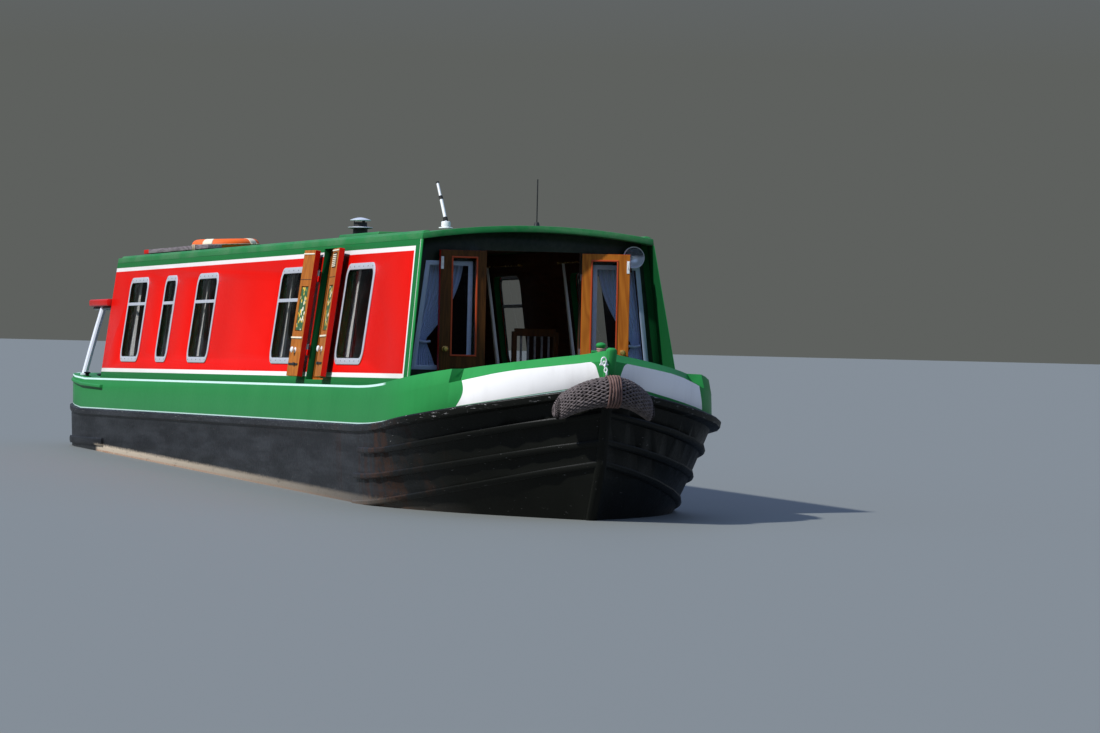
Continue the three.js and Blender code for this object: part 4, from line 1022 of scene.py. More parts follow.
def addWindow(sideName, row):
    label = sideName.title() + row
    aft, fore, transom = windows["rows"][row]
    middle = (windows["low"] + windows["high"]) / 2
    wide, tall = fore - aft, windows["high"] - windows["low"]
    proud = windows["proud"]

    def at(out):
        return sideMatrix(sides[sideName], (aft + fore) / 2, middle, out)

    def plate(grow, thick, rim, bevel):
        return roundedPlate(wide + 2 * grow, tall + 2 * grow, windows["radius"] + grow, thick, rim, bevel)

    parts = [plate(windows["flange"], proud, windows["rim"], 0.0018)]
    if transom:
        bar, half, end = transom - middle, windows["barWide"] / 2, wide / 2 - windows["barEnd"]
        parts.append(block(-end, end, bar - half, bar + half, -0.004, proud - 0.0005))
    addPiece("windowFrame" + label, parts, "window_silver", "silver", f"window_{sideName}_{row}",
             at=at(0.0003))
    count = max(int(wide / windows["screwStep"]), 2)
    reach = wide / 2 - windows["screwEnd"]
    screws = [shifted(turned(windows["screw"], 8), (reach * (2 * i / count - 1), y, 0))
              for y in (-tall / 2 + 0.001, tall / 2 - 0.001) for i in range(count + 1)]
    addPiece("windowScrews" + label, screws, "cast_black", "gasket", at=at(proud))
    seal = plate(-windows["sealIn"], windows["seal"], windows["seal"], 0.001)
    addPiece("windowSeal" + label, seal, "cast_black", "gasket", at=at(0.0003))
    pane = plate(-windows["paneIn"], windows["paneThick"], 0, 0.0006)
    addPiece("windowPane" + label, pane, "corner_glass", "glass", at=at(windows["paneOut"]))


for sideName in sides:
    for row in windows["rows"]:
        addWindow(sideName, row)
print("windows set:", 2 * len(windows["rows"]))

# Curtains: gathered cloth at the aft edge of each window, drawn back at the foot
curtains = {
    "depth": 0.078,
    "low": 0.085,
    "high": 0.855,
    "beyond": 0.11,
    "topReach": 0.03,
    "footReach": 0.10,
    "usualWide": 0.74,
    "folds": 6,
    "foldDeep": 0.012,
    "columns": 66,
    "rows": 16,
    "railUp": 0.859,
    "railPast": 0.14,
    "railRadius": 0.006,
    "bracketPast": 0.135,
    "bracketHalf": 0.008,
    "bracketLong": 0.034,
    "gather": {"starboard": 1.0, "port": 0.2},
}


def addWindowCurtain(sideName, row):
    side, label = sides[sideName], sideName.title() + row
    aft, fore = windows["rows"][row][:2]
    seed = random.Random(row + sideName)
    phase = seed.uniform(0, math.tau)
    sway = seed.uniform(0.8, 1.2)
    gather = curtains["gather"][sideName]
    wide = gather * (fore - aft) / curtains["usualWide"]
    beyond, top, foot = curtains["beyond"] * gather, curtains["topReach"], curtains["footReach"]
    low, high, deep, railUp = curtains["low"], curtains["high"], curtains["depth"], curtains["railUp"]
    half = curtains["bracketHalf"]

    def shape(c, r):
        reach = (foot + (top - foot) * r ** 0.6) * wide * sway
        fold = math.sin(math.tau * curtains["folds"] * c + phase + 0.8 * r)
        out = -deep + curtains["foldDeep"] * fold * (0.55 + 0.45 * (1 - r))
        return sideMatrix(side, aft - beyond + (beyond + reach) * c, low + (high - low) * r, out).translation

    cloth = addPiece("curtain" + label, grid(curtains["columns"], curtains["rows"], shape), "curtain_cloth",
                     "curtain")
    ends = (aft - curtains["railPast"], fore + curtains["railPast"])
    parts = [tube([sideMatrix(side, x, railUp, -deep).translation for x in ends], curtains["railRadius"])]
    for x in (aft - curtains["bracketPast"], fore + curtains["bracketPast"]):
        bracket = block(x - half, x + half, -half, half, 0, curtains["bracketLong"])
        bracket.data.transform(sideMatrix(side, 0, railUp, -boat["sideThick"] - curtains["bracketLong"]))
        parts.append(bracket)
    rail = addPiece("curtainRail" + label, parts, "bronze", "brass")


for sideName in sides:
    for row in windows["rows"]:
        addWindowCurtain(sideName, row)

# Corner windows of the cabin front: silver frames, panes, and blue curtains tied back
corner = {
    "outline": [(0.420, 0.130), (0.775, 0.130), (0.690, 0.790), (0.420, 0.790)],
    "rim": 0.030,
    "grow": 0.020,
    "proud": 0.007,
    "paneDepth": 0.024,
    "curtainDepth": 0.020,
    "curtainFoot": 0.095,
    "curtainTop": 0.835,
    "curtainInner": 0.445,
    "outerFoot": 0.790,
    "outerSlope": 0.128,
    "columns": 110,
    "rows": 30,
    "railUp": 0.839,
    "railFrom": 0.415,
    "railTo": 0.685,
    "railRadius": 0.005,
    "bracketAt": 0.425,
    "tieUp": 0.30,
    "tie": [(0.022, 0.66, 0.292), (0.026, 0.70, 0.286), (0.020, 0.742, 0.296)],
    "tieRadius": 0.009,
    "folds": 9,
    "foldDeep": 0.009,
}


def grown(points, by):
    middleX = sum(x for x, y in points) / len(points)
    middleY = sum(y for x, y in points) / len(points)
    return [(x + math.copysign(by, x - middleX), y + math.copysign(by, y - middleY)) for x, y in points]


def addCornerWindow(sideName):
    side, label = sides[sideName], sideName.title()
    flip = Matrix.Diagonal((side, 1, 1, 1))
    front = boat["bulkheadX"]
    rim = outlinePlate(grown(corner["outline"], corner["grow"]), corner["proud"], corner["rim"], 0.0018)
    addPiece("cornerFrame" + label, rim, "window_silver", "shadedSkySilver",
             at=bulkheadMatrix(front + 0.0004) @ flip)
    pane = outlinePlate(grown(corner["outline"], -0.001), 0.006, 0, 0.0006)
    addPiece("cornerPane" + label, pane, "corner_glass", "cornerGlass", "corner_pane_" + sideName,
             at=bulkheadMatrix(front - corner["paneDepth"]) @ flip)
    depth = front - boat["bulkheadThick"] - corner["curtainDepth"]
    foot, top = corner["curtainFoot"], corner["curtainTop"]
    tie, nearest = corner["tieUp"], corner["curtainInner"]

    def shape(c, r):
        up = foot + (top - foot) * r
        outer = corner["outerFoot"] - corner["outerSlope"] * up
        pull = ((top - up) / (top - tie)) ** 1.7 if up > tie else 1 - 0.55 * (1 - up / tie) ** 0.8
        inner = nearest + (outer - 0.06 - nearest) * pull
        fold = math.sin(math.tau * corner["folds"] * c + 0.6 * r)
        return place(depth + corner["foldDeep"] * fold * (1 - 0.5 * pull),
                     side * (inner + (outer - inner) * c), up)

    cloth = addPiece("cornerCurtain" + label, grid(corner["columns"], corner["rows"], shape), "curtain_cloth",
                     "blueCurtain", "curtain_" + sideName)
    railUp = corner["railUp"]
    rail = tube([place(depth, side * y, railUp) for y in (corner["railFrom"], corner["railTo"])],
                corner["railRadius"])
    bracket = shifted(block(0, 0.03, -0.006, 0.006, -0.008, 0.008),
                      place(depth - 0.004, side * corner["bracketAt"], railUp))
    whole = addPiece("cornerRail" + label, [rail, bracket], "bronze", "brass")
    tieBand = tube([place(depth + x, side * y, up) for x, y, up in corner["tie"]], corner["tieRadius"])
    addPiece("curtainTie" + label, tieBand, "curtain_cloth", "blueCurtain")


for sideName in sides:
    addCornerWindow(sideName)
print("curtains hung")


# Leaves: drawn closed, hinge axis up Z, the leaf along X, its outer face to Y
def leafMatrix(origin, along, up, hand, degrees):
    first = Vector(along).normalized()
    third = Vector(up).normalized()
    basis = Matrix((first, third.cross(first), third)).transposed().to_4x4()
    basis.translation = origin
    return basis @ Matrix.Rotation(math.radians(hand * degrees), 4, "Z") @ Matrix.Diagonal((1, hand, 1, 1))


# Each leaf's hinge foot, direction when closed, hinge axis, hand, and degrees open
hinges = {
    "front_door_port": (place(-0.290, 0.318, -0.474), (0, -1, 0), (0, 0, 1), 1, 165),
    "front_door_starboard": (place(-0.290, -0.318, -0.474), (0, 1, 0), (0, 0, 1), -1, 177),
    "side_hatch_aft": (place(-2.950, -0.89904, 0.044), (1, 0, 0), (0, boat["tumble"], 1), -1, 176),
    "side_hatch_fore": (place(-2.410, -0.89904, 0.044), (-1, 0, 0), (0, boat["tumble"], 1), 1, 176),
    "stern_door_port": (place(-10.640, 0.300, -0.004), (0, -1, 0), (0, 0, 1), -1, 0),
    "stern_door_starboard": (place(-10.640, -0.300, -0.004), (0, 1, 0), (0, 0, 1), 1, 0),
}
leaf = {
    "gap": 0.006,
    "inner": -0.048,
    "outer": -0.010,
    "front": {"width": 0.309, "height": 1.352, "panes": [(0.074, 0.231, 0.684, 1.304)],
              "panels": [(0.074, 0.231, 0.100, 0.600)], "hinges": [0.180, 0.700, 1.180]},
    "hatch": {"width": 0.261, "height": 0.874, "panes": [], "panels": [(0.052, 0.221, 0.312, 0.623)],
              "hinges": [0.190, 0.700]},
    "stern": {"width": 0.291, "height": 0.918, "panes": [],
              "panels": [(0.060, 0.240, 0.09, 0.42), (0.060, 0.240, 0.50, 0.84)], "hinges": [0.160, 0.620]},
    "barrel": [(0, 0), (0.0068, 0), (0.0068, 0.0175), (0.0062, 0.018), (0.0062, 0.0185), (0.0068, 0.019),
               (0.0068, 0.0385), (0.004, 0.0400), (0, 0.0402)],
    "knob": [(0, 1), (0.62, 0.96), (1, 0.74), (0.86, 0.52), (0.42, 0.32), (0.42, 0.12), (0.9, 0.08),
             (0.95, 0), (0, 0)],
}


# Stiles and rails round the openings, and a raised panel in each opening that is closed
def leafBoards(kind):
    height = leaf[kind]["height"]
    gaps = sorted(leaf[kind]["panes"] + leaf[kind]["panels"], key=lambda gap: gap[2])
    x0, x1 = leaf["gap"], leaf["gap"] + leaf[kind]["width"]
    left, right = gaps[0][0], gaps[0][1]
    inner, outer = leaf["inner"], leaf["outer"]
    boards = [block(a, b, inner, outer, 0, height, 0.0025) for a, b in ((x0, left), (right, x1))]
    foot = 0
    for gap in gaps + [(left, right, height, height)]:
        boards.append(block(left - 0.002, right + 0.002, inner + 0.0004, outer - 0.0004, foot, gap[2],
                            0.0015))
        foot = gap[3]
    for a, b, low, high in leaf[kind]["panels"]:
        boards.append(block(a - 0.003, b + 0.003, inner + 0.014, outer - 0.010, low - 0.003, high + 0.003,
                            0.001))
        boards.append(block(a + 0.012, b - 0.012, inner + 0.007, outer - 0.006, low + 0.012, high - 0.012,
                            0.006, 3))
    return boards


def leafHinges(kind):
    parts = []
    for up in leaf[kind]["hinges"]:
        parts.append(block(0.004, 0.062, -0.0125, -0.0085, up + 0.0006, up + 0.040, 0.001))
        parts.append(shifted(turned(leaf["barrel"], 16), (0, 0, up + 0.0004)))
        parts.append(block(0.0, 0.007, -0.0125, -0.004, up + 0.002, up + 0.039, 0.001))
    return parts


def leafLabel(name):
    return name.title().replace("_", "")


def setLeaf(name, label, things, slot, paints):
    addPiece(label + leafLabel(name), things, slot, paints, at=leafMatrix(*hinges[name]), body=name)


# A knob on the leaf's inner face
def knobAt(x, z, radius, out):
    knob = turned([(radius * r, out * h) for r, h in leaf["knob"]], 20)
    return moveTo(knob, Matrix.Translation((x, leaf["inner"], z)) @ Matrix.Rotation(math.radians(90), 4, "X"))


def beading(gap, wide, y0, y1):
    x0, x1, z0, z1 = gap
    runs = [(x0 - wide, x1 + wide, z0 - wide, z0 + 0.001), (x0 - wide, x1 + wide, z1 - 0.001, z1 + wide),
            (x0 - wide, x0 + 0.001, z0, z1), (x1 - 0.001, x1 + wide, z0, z1)]
    return [block(a, b, y0, y1, low, high, 0.003) for a, b, low, high in runs]


def dressLeaf(name, kind, wood, slot):
    first, last, height = leaf["gap"], leaf["gap"] + leaf[kind]["width"], leaf[kind]["height"]

    def onEdge(at, normal):
        onSide = abs(normal.x) > 0.8 and (at.x < first + 0.001 or at.x > last - 0.001)
        return onSide or abs(normal.z) > 0.8 and (at.z < 0.001 or at.z > height - 0.001)

    boards = addPiece("boards" + leafLabel(name), leafBoards(kind), slot, wood + " red darkGreen", name,
                      body=name)
    paintFaces(boards, 1, onEdge)
    paintFaces(boards, 2, lambda at, normal: normal.y > 0.8 and at.y > leaf["outer"] - 0.004)
    moveTo(boards, leafMatrix(*hinges[name]))
    setLeaf(name, "hinge", leafHinges(kind), "bare_steel", "steel")


# Front doors: a pane with its beading, a brass knob, and a hook on a white plate near the top
front = {"bead": 0.010, "knobIn": 0.037, "knobUp": 0.720, "knobRadius": 0.019, "knobOut": 0.038,
         "hookIn": 0.012,
         "hookUp": 1.26, "hookRun": [(0.004, 0), (0.016, 0), (0.016, 0.03), (0.008, 0.044)],
         "hookRadius": 0.0025}


def addFrontDoor(name, wood):
    dressLeaf(name, "front", wood, "leaf_wood")
    inner, gap = leaf["inner"], leaf["front"]["panes"][0]
    pane = block(gap[0] - 0.004, gap[1] + 0.004, -0.0310, -0.0270, gap[2] - 0.004, gap[3] + 0.004, 0.0005, 1)
    setLeaf(name, "pane", pane, "corner_glass", "cornerGlass")
    setLeaf(name, "bead", beading(gap, front["bead"], inner - 0.004, inner + 0.010), "leaf_wood", "beadRed")
    freeX = leaf["gap"] + leaf["front"]["width"]
    knob = knobAt(freeX - front["knobIn"], front["knobUp"], front["knobRadius"], front["knobOut"])
    setLeaf(name, "knob", knob, "bronze", "brass")
    x, z = freeX - front["hookIn"], front["hookUp"]
    hook = tube([(x, inner - out, z + up) for out, up in front["hookRun"]], front["hookRadius"])
    plate = block(x - 0.009, x + 0.009, inner - 0.003, inner + 0.001, z - 0.03, z + 0.05, 0.001)
    setLeaf(name, "hook", [hook, plate], "white_paint", "white")


addFrontDoor("front_door_port", "leafWood")
# The starboard door has the same varnish as the port one; its darker copy is painted shade
addFrontDoor("front_door_starboard", "darkWoodAndShade")

# Side hatch leaves: a painted panel set in, a bolt, a knob, a batten and, on one, a louvred vent
hatchDetail = {
    "side_hatch_aft": {"bolt": 0.082, "knob": 0.179, "batten": 0.266, "seam": 0.670, "edge": 0.848},
    "side_hatch_fore": {"bolt": 0.090, "knob": 0.186, "batten": 0.276, "seam": 0.678, "edge": 0.860,
                        "louvre": (0.748, 0.839)},
}
louvreSlats = 7
# Strips on a leaf's inner face: both ends of the reach, height above the face, and half width
hatchStrips = {"bolt": (0.03, 0.24, 0.006, 0.007), "batten": (0.012, 0.262, 0.007, 0.006),
               "edge": (0.012, 0.262, 0.005, 0.005), "seam": (0.008, 0.265, 0.0012, 0.0015)}
hatchKnob = {"x": 0.14, "radius": 0.022, "out": 0.034}
hatchGrip = {"x": (0.09, 0.12), "half": 0.011, "lift": (0.011, 0.004)}


def addHatchLeaf(name, detail):
    dressLeaf(name, "hatch", "leafWood", "leaf_wood")
    left, right, low, high = leaf["hatch"]["panels"][0]
    inner = leaf["inner"]

    def strip(part, bevel=0.002):
        x0, x1, lift, half = hatchStrips[part]
        return block(x0, x1, inner - lift, inner + 0.001, detail[part] - half, detail[part] + half, bevel)

    art = block(left + 0.004, right - 0.004, inner + 0.0045, inner + 0.0085, low + 0.006, high - 0.006, 0.001)
    setLeaf(name, "motif", art, "leaf_wood", "motif")
    level, half, (rise, clear) = detail["bolt"], hatchGrip["half"], hatchGrip["lift"]
    grip = block(*hatchGrip["x"], inner - rise, inner - clear, level - half, level + half)
    setLeaf(name, "bolt", [strip("bolt"), grip], "cast_black", "black")
    knob = knobAt(hatchKnob["x"], detail["knob"], hatchKnob["radius"], hatchKnob["out"])
    setLeaf(name, "knob", knob, "white_paint", "white")
    setLeaf(name, "batten", [strip("batten"), strip("edge")], "white_paint", "cream")
    setLeaf(name, "seam", strip("seam", 0), "cast_black", "gasket")
    if "louvre" in detail:
        low, high = detail["louvre"]
        step = (high - low) / louvreSlats
        slats = [block(0.07, 0.20, inner - 0.006, inner + 0.002, low + step * i, low + step * (i + 0.55),
                       0.001)
                 for i in range(louvreSlats)]
        setLeaf(name, "louvre", slats, "white_paint", "cream")
        back = block(0.064, 0.206, inner - 0.0016, inner + 0.001, low - 0.006, high + 0.006, 0.0005)
        setLeaf(name, "louvreBack", back, "cast_black", "gasket")


for name, detail in hatchDetail.items():
    addHatchLeaf(name, detail)
for name in ("stern_door_port", "stern_door_starboard"):
    dressLeaf(name, "stern", "innerWood", "side_red")
    setLeaf(name, "knob", knobAt(leaf["gap"] + leaf["stern"]["width"] - 0.04, 0.46, 0.016, 0.03), "bronze",
            "brass")
print("leaves hung:", len(hinges))

# Bow fender: a rope core under a braid of strands, bound with turns of rope at the stem
fender = {
    "x": 1.6375,
    "up": -0.001,
    "half": 0.320,
    "radius": 0.094,
    "endRadius": 0.080,
    "flat": 0.85,
    "back": 0.205,
    "droop": 0.130,
    "cap": 0.8,
    "tip": 0.985,
    "coreIn": 0.014,
    "strands": 22,
    "rings": 160,
    "turns": 1.8,
    "strandRadius": 0.0058,
    "weave": 0.0042,
    "sink": 0.0098,
    "bindTurns": 5,
    "bindHalf": 0.034,
    "bindRadius": 0.0075,
    "bindWave": 0.006,
    "bindOut": 0.001,
    "endTurns": 4,
    "endRope": 0.0055,
    "endFrom": 0.93,
    "endStep": 0.017,
    "endIn": 0.004,
}


# A point on the fender: s from -1 to 1 along it, an angle round it, and how far out from its surface
def fenderPoint(s, angle, out):
    reach = max(abs(s) - fender["cap"], 0) / (1 - fender["cap"])
    full = fender["radius"] + (fender["endRadius"] - fender["radius"]) * s * s
    size = full * max(math.sqrt(max(1 - reach * reach, 0)), 0.16) + out
    x = fender["x"] - fender["back"] * abs(s) ** 1.4
    up = fender["up"] - fender["droop"] * s * s
    return place(x + size * fender["flat"] * math.cos(angle), fender["half"] * s, up + size * math.sin(angle))


# A strand of the braid: the two ways round rise and sink past each other where they cross
def fenderStrand(way, start):
    points = []
    for i in range(fender["rings"] + 1):
        t = i / fender["rings"]
        angle = start + way * fender["turns"] * math.pi * t
        lift = way * fender["weave"] * math.cos(math.pi * t * fender["turns"] * fender["strands"])
        points.append(fenderPoint(-math.cos(t * math.pi) * fender["tip"], angle, lift - fender["sink"]))
    return tube(points, fender["strandRadius"], curved=False, sides=2)


def addFender():
    # The core is near black: painted shade in the gaps between the strands
    core = modify(eased("bow_fender"), "DISPLACE", strength=-fender["coreIn"], mid_level=0)
    addPiece("fenderCore", core, "fender_rope", "fenderDarkAndShade", "bow_fender")
    strands = [fenderStrand(way, start) for way in (1, -1) for start in angles(fender["strands"])]
    addPiece("fenderBraid", strands, "fender_rope", "fenderRope")
    turns = []
    for k in range(fender["bindTurns"]):
        s = fender["bindHalf"] / fender["half"] * (2 * k / (fender["bindTurns"] - 1) - 1)
        points = [fenderPoint(s + fender["bindWave"] * math.sin(3 * a + k), a,
                              fender["bindOut"]) for a in angles(28)]
        turns.append(hoop(points, fender["bindRadius"]))
    addPiece("fenderBinding", turns, "fender_rope", "bindingRope")
    spots = [s * (fender["endFrom"] + fender["endStep"] * k)
             for s in (-fender["tip"], fender["tip"]) for k in range(fender["endTurns"])]
    ends = [hoop([fenderPoint(s, a, -fender["endIn"]) for a in angles(20)], fender["endRope"]) for s in spots]
    addPiece("fenderEnds", ends, "fender_rope", "fenderDarkAndShade")


addFender()
print("fender woven")

# Galvanised shackle and short chain from the stem to the fender, and the line round the T-stud
chain = {"top": (1.600, -0.050, 0.178), "foot": (1.640, -0.040, 0.098), "links": 4, "wire": 0.0045,
         "half": 0.009,
         "long": 0.014, "turn": 25, "shackleHalf": 0.016, "shackleHigh": 0.022, "shackleDrop": 0.026,
         "shackleWire": 0.005, "pinHalf": 0.026, "pinDrop": 0.016, "pinRadius": 0.006}
studLine = {"x": 1.35, "over": 0.020, "radius": 0.0215, "turns": 4, "step": 0.009, "rope": 0.0055}


def addChain():
    top, foot = Vector(place(*chain["top"])), Vector(place(*chain["foot"]))
    links = []
    for k in range(chain["links"]):
        middle = top.lerp(foot, (k + 0.5) / chain["links"])
        turn = math.radians(90 * (k % 2) + chain["turn"])
        broad = Vector((math.sin(turn), math.cos(turn), 0)) * chain["half"]
        long = Vector((0, 0, chain["long"]))
        links.append(hoop([middle + broad * math.cos(a) + long * math.sin(a) for a in angles(16)],
                          chain["wire"]))
    bow = [top + Vector((0, chain["shackleHalf"] * math.cos(math.pi * j / 10),
                         0.006 + chain["shackleHigh"] * math.sin(math.pi * j / 10))) for j in range(11)]
    drop = Vector((0, 0, chain["shackleDrop"]))
    links.append(tube([bow[0] - drop, *bow, bow[-1] - drop], chain["shackleWire"]))
    pin = [top + Vector((0, y, -chain["pinDrop"])) for y in (-chain["pinHalf"], chain["pinHalf"])]
    links.append(tube(pin, chain["pinRadius"]))
    addPiece("fenderChain", links, "bare_steel", "white")


def addStudLashing():
    turns = []
    for k in range(studLine["turns"]):
        radius = studLine["radius"] + 0.0006 * k
        up = deckUpAt(studLine["x"]) + studLine["over"] + studLine["step"] * k
        turns.append(hoop([place(studLine["x"] + radius * math.cos(a), radius * math.sin(a),
                                 up + 0.002 * math.sin(a + k)) for a in angles(20)], studLine["rope"]))
    addPiece("studLashing", turns, "fender_rope", "pinkRope")


addChain()
addStudLashing()

# Life ring on the roof: an oval-section torus with four bands and a grab line held tight round it
lifeRing = {"x": -9.030, "y": -0.200, "up": 1.0839, "lean": 2.5, "major": 0.212, "minor": 0.056,
            "high": 0.044,
            "bandWide": 0.34, "bandProud": 0.0016, "bandThick": 0.0014, "lineRadius": 0.0042,
            "lineOut": 0.0032, "lineSlack": 0.0012,
            "seizingApart": 0.13, "seizingStep": 0.012, "seizingRadius": 0.0058, "seizingWire": 0.0014}


def ringPoint(angle, around, out=0.0):
    radius = lifeRing["major"] + (lifeRing["minor"] + out) * math.cos(around)
    up = (lifeRing["high"] + out) * math.sin(around)
    return Vector((radius * math.cos(angle), radius * math.sin(angle), up))


def ringSkin(columns, middle, wide, out=0.0):
    thing = grid(columns, 28, lambda c, r: ringPoint(middle + (c - 0.5) * wide, r * math.tau, out))
    with editing(thing):
        weldAll()
    return thing


def seizing(angle, step):
    centre = ringPoint(angle + step, 0, lifeRing["lineOut"])
    out = Vector((math.cos(angle), math.sin(angle), 0))
    up = Vector((0, 0, 1))
    size = lifeRing["seizingRadius"]
    return hoop([centre + size * (out * math.cos(a) + up * math.sin(a)) for a in angles(12)],
                lifeRing["seizingWire"])


def addLifeRing():
    foot = place(lifeRing["x"], lifeRing["y"], lifeRing["up"])
    at = Matrix.Translation(foot) @ Matrix.Rotation(math.radians(lifeRing["lean"]), 4, "X")
    addPiece("lifeRing", ringSkin(112, math.pi, math.tau), "ring_orange", "ring", "life_ring", at=at)
    corners = [math.radians(45 + 90 * k) for k in range(4)]
    bands = [modify(ringSkin(10, middle, lifeRing["bandWide"], lifeRing["bandProud"]), "SOLIDIFY",
                    thickness=lifeRing["bandThick"], offset=-1.0) for middle in corners]
    addPiece("ringBands", bands, "white_paint", "cream", at=at)
    line = hoop([ringPoint(a, 0, lifeRing["lineOut"] + lifeRing["lineSlack"] * math.cos(4 * a + math.pi))
                 for a in angles(64)],
                lifeRing["lineRadius"])
    addPiece("ringGrabLine", line, "white_paint", "rope", at=at)
    seizings = [seizing(middle + apart, step) for middle in corners
                for apart in (-lifeRing["seizingApart"], lifeRing["seizingApart"])
                for step in (-lifeRing["seizingStep"], 0, lifeRing["seizingStep"])]
    addPiece("ringSeizings", seizings, "white_paint", "cream", at=at)


addLifeRing()

# Gang plank: lashed down near its fore end
plank = {"y": -0.560, "half": 0.055, "low": 1.020, "high": 1.052, "lashX": (-8.22, -8.28), "turns": 4,
         "step": 0.009,
         "around": 0.005, "rope": 0.0045}


def addPlankLashings():
    around = plank["around"]
    half, low, high = plank["half"] + around, plank["low"] - around, plank["high"] + around
    corners = [(-half, low), (-half, high), (half, high), (half, low)]
    loops = [hoop([place(x + plank["step"] * k, plank["y"] + y, up) for y, up in corners], plank["rope"],
                  False)
             for x in plank["lashX"] for k in range(plank["turns"])]
    addPiece("plankLashing", loops, "white_paint", "rope")


addPlankLashings()

# Tunnel lamp: bowl, rim, reflector, lens and bulb on a bracket
lamp = {
    "x": -0.292,
    "y": 0.652,
    "up": 0.862,
    "bowl": [(0, 0.0012), (0.020, 0.002), (0.036, 0.006), (0.049, 0.014), (0.059, 0.025), (0.065, 0.038),
             (0.0685, 0.050), (0.0695, 0.058), (0.0715, 0.060), (0.0725, 0.064), (0.0715, 0.068),
             (0.069, 0.0705),
             (0.0655, 0.0700), (0.0640, 0.066), (0.061, 0.050), (0.052, 0.034), (0.036, 0.020),
             (0.016, 0.013),
             (0, 0.012)],
    "rimFrom": (0.0660, 0.056),
    "lens": [(0, 0.0705), (0.030, 0.0698), (0.050, 0.0682), (0.0635, 0.0662), (0.0635, 0.0642),
             (0.030, 0.0672),
             (0, 0.0680)],
    "bulb": [(0, 0.050), (0.006, 0.049), (0.010, 0.044), (0.010, 0.036), (0.006, 0.028), (0.006, 0.013),
             (0, 0.0125)],
}


def addLamp():
    middle = place(lamp["x"], lamp["y"], lamp["up"])
    at = Matrix.Translation(middle) @ Matrix.Rotation(math.radians(90), 4, "Y")
    rimRadius, rimOut = lamp["rimFrom"]
    shell = addPiece("lampBowl", turned(lamp["bowl"], 56), "lamp_chrome", "lampChrome silver", "tunnel_lamp",
                     at=at)
    paintFaces(shell, 1, lambda c, n: math.hypot(c.y - middle.y, c.z - middle.z) > rimRadius
               and c.x > middle.x + rimOut)
    addPiece("lampLens", turned(lamp["lens"], 40), "corner_glass", "lensGlass", at=at)
    addPiece("lampBulb", turned(lamp["bulb"], 20), "white_paint", "white", at=at)
    arm = [block(-0.016, 0.016, -0.014, 0.014, -0.0075, 0.004),
           block(-0.010, 0.095, -0.008, 0.008, -0.006, 0.000)]
    addPiece("lampBracket", arm, "cast_black", "black", at=at)


addLamp()

# Chimney: base ring, flue, middle disc and cowl, with three stays under the cowl
chimney = {
    "x": -5.700,
    "y": 0.120,
    "up": 1.0490,
    "steps": 40,
    "Base": [(0.050, -0.003), (0.0915, -0.003), (0.092, 0.0), (0.092, 0.009), (0.089, 0.013), (0.066, 0.016),
             (0.059, 0.021), (0.0575, 0.021), (0.0575, 0.0), (0.050, -0.003)],
    "Flue": [(0.050, 0.004), (0.0565, 0.004), (0.0565, 0.020), (0.0550, 0.024), (0.0545, 0.060),
             (0.0560, 0.062),
             (0.0560, 0.066), (0.0545, 0.068), (0.0540, 0.097), (0.090, 0.1035), (0.090, 0.1055),
             (0.052, 0.1055),
             (0.050, 0.110), (0.050, 0.148), (0.046, 0.148), (0.046, 0.004), (0.050, 0.004)],
    "Disc": [(0.0505, 0.1062), (0.090, 0.1062), (0.092, 0.1075), (0.092, 0.1105), (0.090, 0.112),
             (0.060, 0.1135),
             (0.0505, 0.117), (0.0505, 0.1062)],
    "Cowl": [(0, 0.184), (0.012, 0.1835), (0.030, 0.1805), (0.052, 0.1745), (0.070, 0.168), (0.0775, 0.1655),
             (0.078, 0.163), (0.076, 0.160), (0.070, 0.1615), (0.050, 0.1675), (0.028, 0.1735), (0, 0.176)],
}


def addChimney():
    at = Matrix.Translation(place(chimney["x"], chimney["y"], chimney["up"]))
    for part, slot, paint, nodes in (("Base", "window_silver", "silver", ["chimney"]),
                                     ("Flue", "cast_black", "black", []),
                                     ("Disc", "window_silver", "silver", []),
                                     ("Cowl", "white_paint", "silver", [])):
        addPiece("chimney" + part, turned(chimney[part], chimney["steps"]), slot, paint, *nodes, at=at)
    stays = [moveTo(block(0.0440, 0.0490, -0.006, 0.006, 0.140, 0.166, 0.001),
                    Matrix.Rotation(a + 0.4, 4, "Z"))
             for a in angles(3)]
    addPiece("chimneyStays", stays, "cast_black", "black", at=at)


addChimney()

# Telescopic mast on its round base. Each run has its start and end along the mast, radius, slot and finish
mast = {
    "x": -0.750,
    "y": -0.470,
    "up": 1.0295,
    "base": [(0, 0), (0.046, 0), (0.046, 0.005), (0.044, 0.007), (0.031, 0.008), (0.0305, 0.012),
             (0.0300, 0.040),
             (0.0275, 0.044), (0.018, 0.046), (0, 0.046)],
    "bolt": [(0, 0.0105), (0.0035, 0.0105), (0.0045, 0.0095), (0.0045, 0.0065), (0, 0.0065)],
    "boltRadius": 0.038,
    "path": [(0, 0, 0.044), (-0.070, -0.012, 0.168), (-0.150, -0.026, 0.304)],
    "runs": {"mastLower": (0.0, 0.62, 0.0108, "white_paint", "white"),
             "mastUpper": (0.60, 1.0, 0.0088, "white_paint", "white"),
             "mastCollar": (0.015, 0.105, 0.0150, "cast_black", "gasket"),
             "mastJoint": (0.575, 0.655, 0.0130, "cast_black", "gasket"),
             "mastTip": (0.965, 1.0, 0.0105, "cast_black", "gasket")},
}


